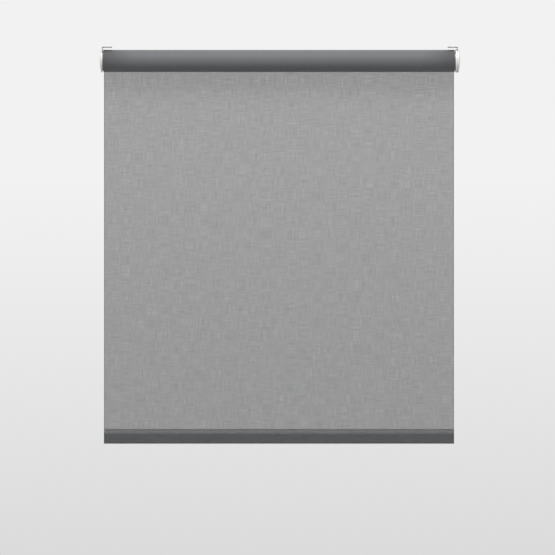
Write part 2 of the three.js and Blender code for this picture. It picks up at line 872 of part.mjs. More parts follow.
/** The wound rotor with its commutator and spindle. */
function armature() {
  const { spindleRadius: r, armatureRadius: core, armatureLength: length } = motor;
  const end = armatureX + length;
  const profile = [
    [gearX, 0],
    [gearX, r],
    [armatureX, r],
    [armatureX, core],
    [end, core],
    [end, r],
    [end + 1.5, r],
    [end + 1.5, 3 * r],
    [end + 6, 3 * r],
    [end + 6, r],
    [canEndX + motor.bellLength - 1, r],
    [canEndX + motor.bellLength - 1, 0],
  ];
  return turned(profile, 20);
}

const sunPinion = () =>
  gear(gears.sun, motor.spindleRadius + fit, gearX, gearEndX + 0.4, 0);

// ---------------------------------------------------------------- battery and electronics

const cellsX = canEndX + motor.bellLength + 12;
const bayEndX = cellsX + battery.cells * battery.pitch + 2;

/** One lithium cell with its raised contact. */
function batteryCell(index) {
  const x = cellsX + index * battery.pitch;
  const end = x + battery.length;
  const profile = [
    [x, 0],
    [x, battery.radius],
    [end - battery.nub, battery.radius],
    [end - battery.nub, 3],
    [end, 3],
    [end, 0],
  ];
  return turned(profile, 24);
}

/** The trough that holds the cells in line, with a bulkhead at each end. */
function batteryTray() {
  const inner = battery.radius + fit;
  const start = cellsX - 2 - battery.bulkhead;
  const trough = ringSector(inner, inner + battery.trough, Math.PI, 2 * Math.PI);
  const bulkhead = (x) => rod(caseRadius, x, x + battery.bulkhead, 32);
  const tray = alongX(trough, start + embed, bayEndX + embed, 7);
  return joined(tray, bulkhead(start), bulkhead(bayEndX));
}

/** The control board with its parts and, under its end, the button's switch. */
function controlBoard() {
  const end = headEndX - head.wall - running;
  const start = end - board.length;
  const top = boardZ + board.thickness;
  const plate = block([start, end], [-board.halfWidth, board.halfWidth], [boardZ, top]);
  const on = (x, y, length, width, height) =>
    block([start + x, start + x + length], [y, y + width], [top - embed, top + height]);
  const chips = [on(20, -5, 9, 9, 1.4), on(52, -4, 7, 7, 1.2), on(76, -8, 12, 16, 3), on(110, 2, 8, 6, 2)];
  const tact = block(
    [end - 2.2, end],
    [button.y - 1.5, button.y + 1.5],
    [boardZ - board.switchDrop, boardZ + embed],
  );
  return joined(plate, ...chips, tact);
}

// ---------------------------------------------------------------- the blind

const blind = new THREE.Group();
blind.position.set(-(leftWebX + bracket.flange / 2), 0, -topFaceZ);

/** Adds one named piece to the blind. */
function piece(name, geometry, material) {
  const mesh = new THREE.Mesh(geometry, material);
  mesh.name = name;
  blind.add(mesh);
}

piece('left_bracket', bracketGeometry('left', pinHole()), whiteSteel());
piece('right_bracket', bracketGeometry('right', lugHole()), whiteSteel());
for (const side of ['left', 'right']) {
  piece(`${side}_bracket_cover`, coverGeometry(side), whitePlastic());
  piece(`bar_cap_${side}`, barCap(side), blackPlastic());
}

piece('roller_tube', rollerTube(), aluminium());
piece('fixing_tape', fixingTape(), whitePlastic());
piece('fabric_roll', fabricRoll(), greyVoile());
piece('fabric_panel', fabricPanel(), greyVoile());
piece('hem_pocket', hemPocket(), greyVoile());
piece('bottom_bar', bottomBar(), aluminium());

piece('idle_plug', idlePlug(), whitePlastic());
piece('idle_bush', idleBush(), creamNylon());
piece('idle_pin', idlePin(), springSteel());
piece('idle_spring', idleSpring(), springSteel());
piece('idle_spring_cap', springCap(), creamNylon());

piece('motor_head', motorHead(), whitePlastic());
piece('motor_clip', motorClip(), springSteel());
piece('set_button', setButton(), blackPlastic());
piece('charge_socket', chargeSocket(), springSteel());
piece('motor_tube', sleeve(motorBore, motorTubeRadius, motorTubeX, motorTubeEndX), aluminium());
piece('crown_ring', crownRing(), whitePlastic());

piece('gear_case', gearCase(), blackPlastic());
piece('output_bush', outputBush(), bronze());
piece('planet_carrier', planetCarrier(), springSteel());
piece('drive_wheel', driveWheel(), whitePlastic());
piece('drive_circlip', circlip(), springSteel());
piece('sun_pinion', sunPinion(), bronze());
for (let index = 0; index < gears.planets; index += 1) {
  piece(`planet_gear_${index + 1}`, planetGear(index), creamNylon());
}

piece('motor_plate', motorPlate(), aluminium());
piece('motor_can', motorCan(), springSteel());
piece('motor_end_bell', endBell(), blackPlastic());
piece('armature', armature(), bronze());
piece('magnet_upper', magnet(1), blackPlastic());
piece('magnet_lower', magnet(-1), blackPlastic());
for (const index of [0, 1]) {
  piece(`motor_screw_${index + 1}`, screwGeometry(index), springSteel());
}

piece('battery_tray', batteryTray(), blackPlastic());
for (let index = 0; index < battery.cells; index += 1) {
  piece(`battery_cell_${index + 1}`, batteryCell(index), cellSleeve());
}
piece('control_board', controlBoard(), greenBoard());

export default blind;
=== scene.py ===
"""Semi-sheer roller blind with a motor in its tube: the finished look of every piece.

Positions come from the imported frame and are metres: X runs along the tube, Y points back to
the window, Z points up, and the origin is the middle of the left bracket's top fixing face.
"""

import logging
import math
from collections.abc import Callable
from dataclasses import dataclass, field
from enum import Enum

import bmesh
import bpy
from bmesh.types import BMesh
from mathutils import Matrix, Vector

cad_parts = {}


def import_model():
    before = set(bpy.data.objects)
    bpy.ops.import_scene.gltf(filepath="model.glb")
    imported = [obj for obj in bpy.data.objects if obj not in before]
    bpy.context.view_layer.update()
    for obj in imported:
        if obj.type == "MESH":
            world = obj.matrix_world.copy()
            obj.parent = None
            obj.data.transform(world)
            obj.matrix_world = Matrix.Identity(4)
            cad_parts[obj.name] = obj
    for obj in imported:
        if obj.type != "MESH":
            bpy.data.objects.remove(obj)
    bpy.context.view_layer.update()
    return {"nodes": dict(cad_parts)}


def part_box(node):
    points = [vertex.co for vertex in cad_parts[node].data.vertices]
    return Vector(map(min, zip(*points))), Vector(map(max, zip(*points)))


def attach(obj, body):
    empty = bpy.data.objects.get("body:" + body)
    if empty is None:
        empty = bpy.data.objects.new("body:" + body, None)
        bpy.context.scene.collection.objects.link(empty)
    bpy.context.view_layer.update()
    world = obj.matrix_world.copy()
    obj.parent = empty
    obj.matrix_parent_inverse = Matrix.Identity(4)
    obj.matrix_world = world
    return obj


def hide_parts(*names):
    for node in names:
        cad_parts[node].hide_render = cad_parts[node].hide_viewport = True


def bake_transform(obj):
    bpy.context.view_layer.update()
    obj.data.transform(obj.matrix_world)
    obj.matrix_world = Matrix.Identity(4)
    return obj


log = logging.getLogger("roller_blind")

MM = 0.001
MERGE = 1e-7  # points nearer than this are one point
CLOTH_UV = "cloth"  # the cloth's own flat position: across, then along, in metres

Colour = tuple[float, ...]
Outline = list[tuple[float, float]]
Shaper = Callable[[float, float], Vector]


# ---------------------------------------------------------------- small tools


def linear(hex_colour: str) -> Colour:
    """Turns an sRGB hex colour into the linear values that a colour socket takes."""
    parts = [int(hex_colour[i : i + 2], 16) / 255 for i in (1, 3, 5)]
    return (*(c / 12.92 if c <= 0.04045 else ((c + 0.055) / 1.055) ** 2.4 for c in parts), 1.0)


def add_node(
    tree: bpy.types.NodeTree, kind: str, inputs: dict | None = None, **settings: object
) -> bpy.types.Node:
    """Adds one node with its settings and links.

    Args:
        tree: The node tree that gets the node.
        kind: The node's type name.
        inputs: What goes into each input, by name or number: a socket or a plain value.
        settings: The node's own properties.

    Returns:
        The new node.
    """
    node = tree.nodes.new(kind)
    for name, value in settings.items():
        setattr(node, name, value)
    for key, value in (inputs or {}).items():
        if isinstance(value, bpy.types.NodeSocket):
            tree.links.new(value, node.inputs[key])
        else:
            node.inputs[key].default_value = value
    return node


def smooth_step(t: float) -> float:
    """Eases from 0 to 1 as t goes from 0 to 1."""
    t = min(max(t, 0.0), 1.0)
    return t * t * (3 - 2 * t)


def arc(u: float, v: float, radius: float, start: float, end: float, steps: int) -> Outline:
    """Gives points along an arc.

    Args:
        u: Centre, first coordinate.
        v: Centre, second coordinate.
        radius: Radius of the arc.
        start: First angle in degrees.
        end: Last angle in degrees.
        steps: How many straight pieces the arc has.

    Returns:
        The points, both ends included.
    """
    angles = (math.radians(start + (end - start) * i / steps) for i in range(steps + 1))
    return [(u + radius * math.cos(a), v + radius * math.sin(a)) for a in angles]


def slot_outline(u: float, v: float, width: float, length: float) -> Outline:
    """Gives a slot with round ends, with its width along u and its length along v."""
    half = (length - width) / 2
    return arc(u, v + half, width / 2, 0, 180, 12) + arc(u, v - half, width / 2, 180, 360, 12)


def oval_outline(y: float, high: float, low: float, radius: float) -> Outline:
    """Gives a flat upright oval between two end circles of one radius."""
    return arc(y, high, radius, 0, 180, 20) + arc(y, low, radius, 180, 360, 20)


def box_outline(u: float, v: float, half_u: float, half_v: float) -> Outline:
    """Gives a rectangle round a middle, from its two half sizes."""
    return [(u + x * half_u, v + y * half_v) for x, y in ((-1, -1), (1, -1), (1, 1), (-1, 1))]


def soft_rim(near: float, far: float, radius: float, soft: float, steps: int) -> Outline:
    """Gives the profile of a disc's rim with rounded edges.

    Args:
        near: Where the disc starts along its axis.
        far: Where it ends.
        radius: Radius of the disc.
        soft: Radius of its edges.
        steps: How many straight pieces each edge has.

    Returns:
        Points (distance along the axis, radius).
    """
    quarter = arc(0, 0, 1, 0, 90, steps)
    first = [(near + soft * (1 - x), radius - soft * (1 - y)) for x, y in quarter]
    return first + [(near + far - x, r) for x, r in reversed(first)]


def corners(node: str) -> tuple[Vector, Vector]:
    """Gives the lowest and the highest corner of a CAD node at rest."""
    low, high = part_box(node)
    return Vector(low), Vector(high)


class Along(Enum):
    """The axis that a prism or a turned shape runs along, and how its outline maps to space."""

    X = ("x", lambda u, v, w: Vector((w, u, v)))
    Y = ("y", lambda u, v, w: Vector((u, w, v)))
    Z = ("z", lambda u, v, w: Vector((u, v, w)))

    def place(self, u: float, v: float, w: float) -> Vector:
        """Puts outline coordinates u, v and the distance w along the axis into space."""
        return self.value[1](u, v, w)


def cleaned(bm: BMesh) -> BMesh:
    """Merges doubles and turns the faces of a closed shape outwards."""
    bmesh.ops.remove_doubles(bm, verts=bm.verts, dist=MERGE)
    bmesh.ops.dissolve_degenerate(bm, edges=bm.edges, dist=MERGE)
    bmesh.ops.recalc_face_normals(bm, faces=bm.faces)
    return bm


def prism(outline: Outline, low: float, high: float, along: Along) -> BMesh:
    """Extrudes a flat outline into a closed solid.

    Args:
        outline: The points of the outline, in order.
        low: Where the solid starts on its axis.
        high: Where it ends.
        along: The axis.

    Returns:
        The solid.
    """
    bm = bmesh.new()
    face = bm.faces.new([bm.verts.new(along.place(u, v, low)) for u, v in outline])
    grown = bmesh.ops.extrude_face_region(bm, geom=[face])["geom"]
    top = [g for g in grown if isinstance(g, bmesh.types.BMVert)]
    bmesh.ops.translate(bm, verts=top, vec=along.place(0, 0, high - low))
    return cleaned(bm)


def turned(profile: Outline, centre: Vector, steps: int, along: Along = Along.X) -> BMesh:
    """Spins a profile into a closed round solid.

    Args:
        profile: Points (distance along the axis, radius), from end to end.
        centre: A point on the axis, where the distance is zero.
        steps: How many facets a full turn has.
        along: The axis.

    Returns:
        The solid.
    """
    bm = bmesh.new()
    verts = [bm.verts.new(centre + along.place(0, radius, w)) for w, radius in profile]
    edges = [bm.edges.new(pair) for pair in zip(verts, verts[1:] + verts[:1])]
    bmesh.ops.spin(
        bm,
        geom=verts + edges,
        cent=centre,
        axis=along.place(0, 0, 1),
        dvec=(0, 0, 0),
        angle=math.tau,
        steps=steps,
        use_merge=True,
    )
    return cleaned(bm)


def new_object(name: str, bm: BMesh) -> bpy.types.Object:
    """Frees a bmesh into a new object at the origin, and links it to the scene."""
    mesh = bpy.data.meshes.new(name)
    bm.to_mesh(mesh)
    bm.free()
    made = bpy.data.objects.new(name, mesh)
    bpy.context.scene.collection.objects.link(made)
    return made


def carved(
    blank: BMesh, cut: list[BMesh], added: list[BMesh] | None = None, thickness: float = 0.0
) -> BMesh:
    """Joins and cuts solids, and gives an open sheet its thickness first.

    Args:
        blank: The shape to start from.
        cut: Solids taken away from it.
        added: Solids joined to it before the cuts.
        thickness: Wall grown behind an open sheet's faces, or zero for a solid.

    Returns:
        The finished solid.
    """
    work = new_object("work", blank)
    if thickness:
        wall = work.modifiers.new("wall", "SOLIDIFY")
        wall.thickness, wall.offset, wall.use_even_offset = thickness, -1, True
    tools = [("UNION", bm) for bm in added or []] + [("DIFFERENCE", bm) for bm in cut]
    helpers = []
    for operation, bm in tools:
        helper = new_object("tool", bm)
        step = work.modifiers.new(operation, "BOOLEAN")
        step.operation, step.object, step.solver = operation, helper, "EXACT"
        helpers.append(helper)
    bpy.context.view_layer.update()
    shown = work.evaluated_get(bpy.context.evaluated_depsgraph_get())
    result = bmesh.new()
    result.from_mesh(shown.to_mesh())
    shown.to_mesh_clear()
    for used in [work, *helpers]:
        mesh = used.data
        bpy.data.objects.remove(used)
        bpy.data.meshes.remove(mesh)
    return cleaned(result)


def finished(
    name: str,
    bm: BMesh,
    finish: "Finish",
    body: str | None,
    replaced: tuple[str, ...] = (),
    sharp: float = 35,
) -> bpy.types.Object:
    """body: The moving body that it rides on, or None to leave it unattached.
        replaced: The CAD nodes that it stands for.
        sharp: Edges sharper than this many degrees are shaded as edges.

    Returns:
        The piece.
    """
    made = new_object(name, bm)
    made.data.materials.append(finish.material())
    made.data.polygons.foreach_set("use_smooth", [True] * len(made.data.polygons))
    made.data.set_sharp_from_angle(angle=math.radians(sharp))
    if body:
        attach(made, body)
    if replaced:
        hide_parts(*replaced)
    log.info("%s: %d faces, %s", name, len(made.data.polygons), finish.slot)
    return made


def round_edges(piece: bpy.types.Object, width: float, segments: int = 2) -> None:
    """Softens a piece's edges by a live bevel of the given width."""
    soft = piece.modifiers.new("soft edges", "BEVEL")
    soft.width, soft.segments, soft.limit_method = width, segments, "ANGLE"
    soft.angle_limit = math.radians(40)
    soft.harden_normals = True


# ---------------------------------------------------------------- finishes


@dataclass(frozen=True)
class Finish:
    """A finish with two mixed tones, an uneven gloss and a fine relief, all from noise.

    Attributes:
        slot: The record's material slot.
        name: What the material is.
        tone: Main colour.
        tone_far: The colour that the surface drifts towards in places.
        drift: Size of the colour patches.
        rough: Lowest and highest roughness.
        grain: Size of the relief's grain.
        relief: Height of the relief.
        stretch: How many times longer than wide the grain is, along X, Y and Z.
        metal: True for bare metal.
        coat: Weight of a clear glossy skin.
        ior: Index of refraction, where it isn't a metal.
    """

    slot: str
    name: str
    tone: str
    tone_far: str
    drift: float
    rough: tuple[float, float]
    grain: float
    relief: float
    stretch: tuple[float, float, float] = (1.0, 1.0, 1.0)
    metal: bool = False
    coat: float = 0.0
    ior: float = 1.5

    def material(self) -> bpy.types.Material:
        """Gives the finish's material, which is built the first time."""
        return bpy.data.materials.get(self.name) or self.build()

    def build(self) -> bpy.types.Material:
        """Builds the nodes and gives the material."""
        material = bpy.data.materials.new(self.name)
        material.use_nodes = True
        tree = material.node_tree
        shader = tree.nodes["Principled BSDF"]
        shader.inputs["Metallic"].default_value = 1.0 if self.metal else 0.0
        if not self.metal:
            shader.inputs["IOR"].default_value = self.ior
        shader.inputs["Coat Weight"].default_value = self.coat
        shader.inputs["Coat Roughness"].default_value = 0.12
        place = add_node(tree, "ShaderNodeTexCoord").outputs["Object"]
        patches = add_node(
            tree,
            "ShaderNodeTexNoise",
            {"Vector": place, "Scale": 1 / self.drift, "Detail": 3.0, "Roughness": 0.55},
        ).outputs["Fac"]
        squeezed = add_node(
            tree,
            "ShaderNodeMapping",
            {"Vector": place, "Scale": [1 / s for s in self.stretch]},
        ).outputs["Vector"]
        grain = add_node(
            tree,
            "ShaderNodeTexNoise",
            {"Vector": squeezed, "Scale": 1 / self.grain, "Detail": 2.0, "Roughness": 0.6},
        ).outputs["Fac"]
        both = add_node(tree, "ShaderNodeMix", {0: 0.5, 2: patches, 3: grain}).outputs[0]
        spread = add_node(
            tree, "ShaderNodeMapRange", {"Value": both, "From Min": 0.3, "From Max": 0.7}
        ).outputs["Result"]
        tones = {0: spread, 6: linear(self.tone), 7: linear(self.tone_far)}
        colour = add_node(tree, "ShaderNodeMix", tones, data_type="RGBA").outputs[2]
        low, high = self.rough
        gloss = add_node(
            tree, "ShaderNodeMapRange", {"Value": spread, "To Min": low, "To Max": high}
        ).outputs["Result"]
        bump = add_node(
            tree, "ShaderNodeBump", {"Height": grain, "Distance": self.relief}
        ).outputs["Normal"]
        for socket, name in ((colour, "Base Color"), (gloss, "Roughness"), (bump, "Normal")):
            tree.links.new(socket, shader.inputs[name])
        return material


@dataclass(frozen=True)
class Voile:
    """Woven polyester voile: fine charcoal yarn with slubs both ways and small open holes.

    The yarn is dull and dark, and light comes through the holes, so one layer is a grey veil
    and several layers are nearly black.

    Attributes:
        slot: The record's material slot.
        name: What the material is.
        yarn: Mean colour of the yarn.
        yarn_light: Colour of the lightest slubs.
        cover: Share of light that one face of the cloth stops, or 1 for cloth in many layers.
        pitch: Distance between threads.
        weave: Change of cover in the middle of a gap and on a thread.
        runs: Width, length and change of cover of thick and thin places: first in one thread,
            then slubs that take in a few.
        tone: How much a thick place lightens the yarn, and the yarn's mean tone.
        seal: Width of the heat-sealed strip along each side edge.
        seal_cover: Cover that the sealed strip has beyond the open weave's.
        relief: Height of a thread over the gaps.
        edges: The cloth's two side edges, across.
    """

    slot: str
    name: str
    yarn: str
    yarn_light: str
    cover: float
    edges: tuple[float, float]
    # Real threads are 0.55 mm apart. They are drawn twice as coarse, so that they show.
    pitch: float = 1.1 * MM
    weave: tuple[float, float] = (-0.13, 0.06)
    runs: tuple[tuple[float, float, float], ...] = (
        (1.5 * MM, 30 * MM, 0.034),
        (3.2 * MM, 80 * MM, 0.008),
    )
    tone: tuple[float, float] = (1.6, 0.35)
    seal: float = 1.5 * MM
    seal_cover: float = 0.25
    relief: float = 0.06 * MM

    def material(self) -> bpy.types.Material:
        """Gives the cloth's material, which is built the first time."""
        return bpy.data.materials.get(self.name) or self.build()

    def build(self) -> bpy.types.Material:
        """Builds the nodes and gives the material."""
        material = bpy.data.materials.new(self.name)
        material.use_nodes = True
        tree = material.node_tree
        shader = tree.nodes["Principled BSDF"]
        flat = add_node(tree, "ShaderNodeUVMap", uv_map=CLOTH_UV).outputs["UV"]
        across = add_node(tree, "ShaderNodeSeparateXYZ", {"Vector": flat}).outputs["X"]
        warp, weft = (self.threads(tree, flat, way) for way in "XY")
        top = add_node(
            tree, "ShaderNodeMath", {0: warp, 1: weft}, operation="MAXIMUM"
        ).outputs[0]
        sealed = self.sealed_edge(tree, across)
        gap, thread = self.weave
        density = add_node(
            tree,
            "ShaderNodeMapRange",
            {"Value": top, "From Min": 0.2, "From Max": 1.0, "To Min": gap, "To Max": thread},
        ).outputs["Result"]
        for wide, long, strength in self.runs:
            for size in ((wide, long), (long, wide)):
                run = self.slubs(tree, flat, size)
                density = add_node(
                    tree,
                    "ShaderNodeMath",
                    {0: run, 1: strength, 2: density},
                    operation="MULTIPLY_ADD",
                ).outputs[0]
        gain, mean = self.tone
        tone = add_node(
            tree, "ShaderNodeMath", {0: density, 1: gain, 2: mean}, operation="MULTIPLY_ADD"
        ).outputs[0]
        yarns = {0: tone, 6: linear(self.yarn), 7: linear(self.yarn_light)}
        colour = add_node(tree, "ShaderNodeMix", yarns, data_type="RGBA").outputs[2]
        bump = add_node(
            tree, "ShaderNodeBump", {"Height": top, "Distance": self.relief, "Strength": 0.4}
        ).outputs["Normal"]
        tree.links.new(colour, shader.inputs["Base Color"])
        tree.links.new(bump, shader.inputs["Normal"])
        shader.inputs["Roughness"].default_value = 0.72
        shader.inputs["Sheen Weight"].default_value = 0.08
        shader.inputs["Sheen Roughness"].default_value = 0.5
        if self.cover < 1:
            bare = add_node(
                tree, "ShaderNodeMath", {0: density, 1: self.cover}, use_clamp=True
            ).outputs[0]
            alpha = add_node(
                tree,
                "ShaderNodeMath",
                {0: sealed, 1: self.seal_cover, 2: bare},
                operation="MULTIPLY_ADD",
                use_clamp=True,
            ).outputs[0]
            tree.links.new(alpha, shader.inputs["Alpha"])
        return material

    def threads(
        self, tree: bpy.types.NodeTree, flat: bpy.types.NodeSocket, way: str
    ) -> bpy.types.NodeSocket:
        """Adds rows of threads across X or Y of the flat cloth, and gives their height."""
        # A band texture repeats every pi / 10 divided by its scale.
        row = {"Vector": flat, "Scale": math.pi / 10 / self.pitch, "Distortion": 0.8}
        return add_node(
            tree, "ShaderNodeTexWave", row | {"Detail": 1.0}, bands_direction=way
        ).outputs["Fac"]

    def slubs(
        self, tree: bpy.types.NodeTree, flat: bpy.types.NodeSocket, size: tuple[float, float]
    ) -> bpy.types.NodeSocket:
        """Adds thick and thin places of one size, and gives them from about -1 to 1."""
        spread = add_node(
            tree, "ShaderNodeMapping", {"Vector": flat, "Scale": (1 / size[0], 1 / size[1], 1)}
        ).outputs["Vector"]
        noise = add_node(
            tree, "ShaderNodeTexNoise", {"Vector": spread, "Scale": 1.0, "Detail": 0.0}
        ).outputs["Fac"]
        return add_node(
            tree,
            "ShaderNodeMapRange",
            {"Value": noise, "From Min": 0.25, "From Max": 0.75, "To Min": -1.0, "To Max": 1.0},
        ).outputs["Result"]

    def sealed_edge(
        self, tree: bpy.types.NodeTree, across: bpy.types.NodeSocket
    ) -> bpy.types.NodeSocket:
        """Gives 1 on the heat-sealed strip along each side edge, and 0 on the open weave."""
        low, high = self.edges
        middle, half = (low + high) / 2, (high - low) / 2
        offset = add_node(
            tree, "ShaderNodeMath", {0: across, 1: middle}, operation="SUBTRACT"
        ).outputs[0]
        away = add_node(tree, "ShaderNodeMath", {0: offset}, operation="ABSOLUTE").outputs[0]
        return add_node(
            tree,
            "ShaderNodeMapRange",
            {"Value": away, "From Min": half - self.seal, "From Max": half - 0.6 * self.seal},
        ).outputs["Result"]


# Polyester powder on pressed steel: satin white, with the faint waviness of a baked film.
POWDER_COAT = Finish(
    "bracket_steel", "white powder coat", "#EEEEEC", "#E6E6E4", 30 * MM, (0.30, 0.42),
    1.6 * MM, 0.03 * MM, coat=0.15,
)  # fmt: skip
# Moulded ABS in white: fine spark-eroded mould texture, so a soft even sheen.
WHITE_ABS = Finish(
    "white_plastic", "moulded white ABS", "#F1F1EF", "#E9E9E6", 24 * MM, (0.34, 0.46),
    0.7 * MM, 0.02 * MM,
)  # fmt: skip
# Glass-filled nylon in black: dull, with faint flow marks.
BLACK_NYLON = Finish(
    "black_plastic", "moulded black nylon", "#27282A", "#34363A", 12 * MM, (0.42, 0.6),
    0.6 * MM, 0.03 * MM,
)  # fmt: skip
# Natural acetal and nylon: cream, waxy and slightly uneven.
CREAM_ACETAL = Finish(
    "cream_nylon", "moulded cream acetal", "#E6E1D2", "#DCD5C2", 8 * MM, (0.35, 0.5),
    0.8 * MM, 0.02 * MM, ior=1.48,
)  # fmt: skip
# Extruded aluminium, anodised silver: die lines along the profile.
ALUMINIUM = Finish(
    "tube_aluminium", "anodised aluminium", "#B9BCC0", "#A6A9AE", 40 * MM, (0.3, 0.48),
    0.35 * MM, 0.015 * MM, stretch=(90.0, 1.0, 1.0), metal=True,
)  # fmt: skip
# Drawn and zinc-plated steel: bright, with fine lines from the die.
PLATED_STEEL = Finish(
    "spring_steel", "zinc-plated steel", "#A9ADB3", "#8B8F96", 6 * MM, (0.22, 0.4),
    0.3 * MM, 0.01 * MM, stretch=(12.0, 1.0, 1.0), metal=True,
)  # fmt: skip
# Sintered bronze: warm, dull and full of small oil pores.
BRONZE = Finish(
    "bronze", "sintered bronze", "#B08A4A", "#8C6A36", 5 * MM, (0.35, 0.6),
    0.25 * MM, 0.03 * MM, metal=True,
)  # fmt: skip
# Solder mask over glass-epoxy: glossy green with darker tracks under it.
SOLDER_MASK = Finish(
    "board_green", "green solder mask", "#1F5A3A", "#174A2E", 2.5 * MM, (0.2, 0.35),
    1.2 * MM, 0.03 * MM, stretch=(4.0, 1.0, 1.0), coat=0.3,
)  # fmt: skip
# Heat-shrunk PVC sleeve: glossy blue, with slight ripples round the cell.
SHRINK_SLEEVE = Finish(
    "cell_sleeve", "blue shrink sleeve", "#2F6FAE", "#285F98", 10 * MM, (0.18, 0.3),
    4 * MM, 0.05 * MM, stretch=(1.0, 3.0, 3.0), coat=0.2, ior=1.53,
)  # fmt: skip
# Tissue tape with its liner off: dull white with a fibrous grain.
TISSUE_TAPE = Finish(
    "white_tape", "double-sided tape", "#CCCCC6", "#BDBDB6", 6 * MM, (0.5, 0.7),
    0.5 * MM, 0.02 * MM, stretch=(6.0, 1.0, 1.0),
)  # fmt: skip
HARD_FINISHES = (
    POWDER_COAT, WHITE_ABS, BLACK_NYLON, CREAM_ACETAL, ALUMINIUM, PLATED_STEEL, BRONZE,
    SOLDER_MASK, SHRINK_SLEEVE, TISSUE_TAPE,
)  # fmt: skip
# Spun polyester sewing thread, a shade darker than the cloth.
SEWING_THREAD = Finish(
    "voile", "charcoal sewing thread", "#454648", "#5A5B5D", 1.5 * MM, (0.6, 0.8),
    0.3 * MM, 0.04 * MM, stretch=(0.4, 1.0, 1.0),
)  # fmt: skip


# ---------------------------------------------------------------- cloth


@dataclass(frozen=True)
class Cut:
    """A flat piece of the cloth before it is hung, measured along from where it leaves the roll.

    Attributes:
        left: Left edge.
        right: Right edge.
        start: Where the piece starts along the cloth.
        end: Where it ends.
    """

    left: float
    right: float
    start: float
    end: float

    @property
    def flat(self) -> tuple[float, float]:
        """The cut size: width, then length."""
        return self.right - self.left, self.end - self.start

    def shaped(self, across: int, along: int, shaper: Shaper) -> BMesh:
        """Lays out the cut as a flat grid that remembers its place on the cloth, then shapes it.

        Args:
            across: How many faces wide the grid is.
            along: How many faces long it is.
            shaper: Turns a flat position (across, along) into a point in space.

        Returns:
            The shaped sheet, without thickness.
        """
        bm = bmesh.new()
        layer = bm.loops.layers.uv.new(CLOTH_UV)
        width, length = self.flat
        middle = Vector(((self.left + self.right) / 2, (self.start + self.end) / 2, 0))
        bmesh.ops.create_grid(
            bm,
            x_segments=across,
            y_segments=along,
            size=0.5,
            matrix=Matrix.Translation(middle) @ Matrix.Diagonal((width, length, 1, 1)),
        )
        for face in bm.faces:
            for loop in face.loops:
                loop[layer].uv = loop.vert.co.xy
        for vert in bm.verts:
            vert.co = shaper(vert.co.x, vert.co.y)
        return bm


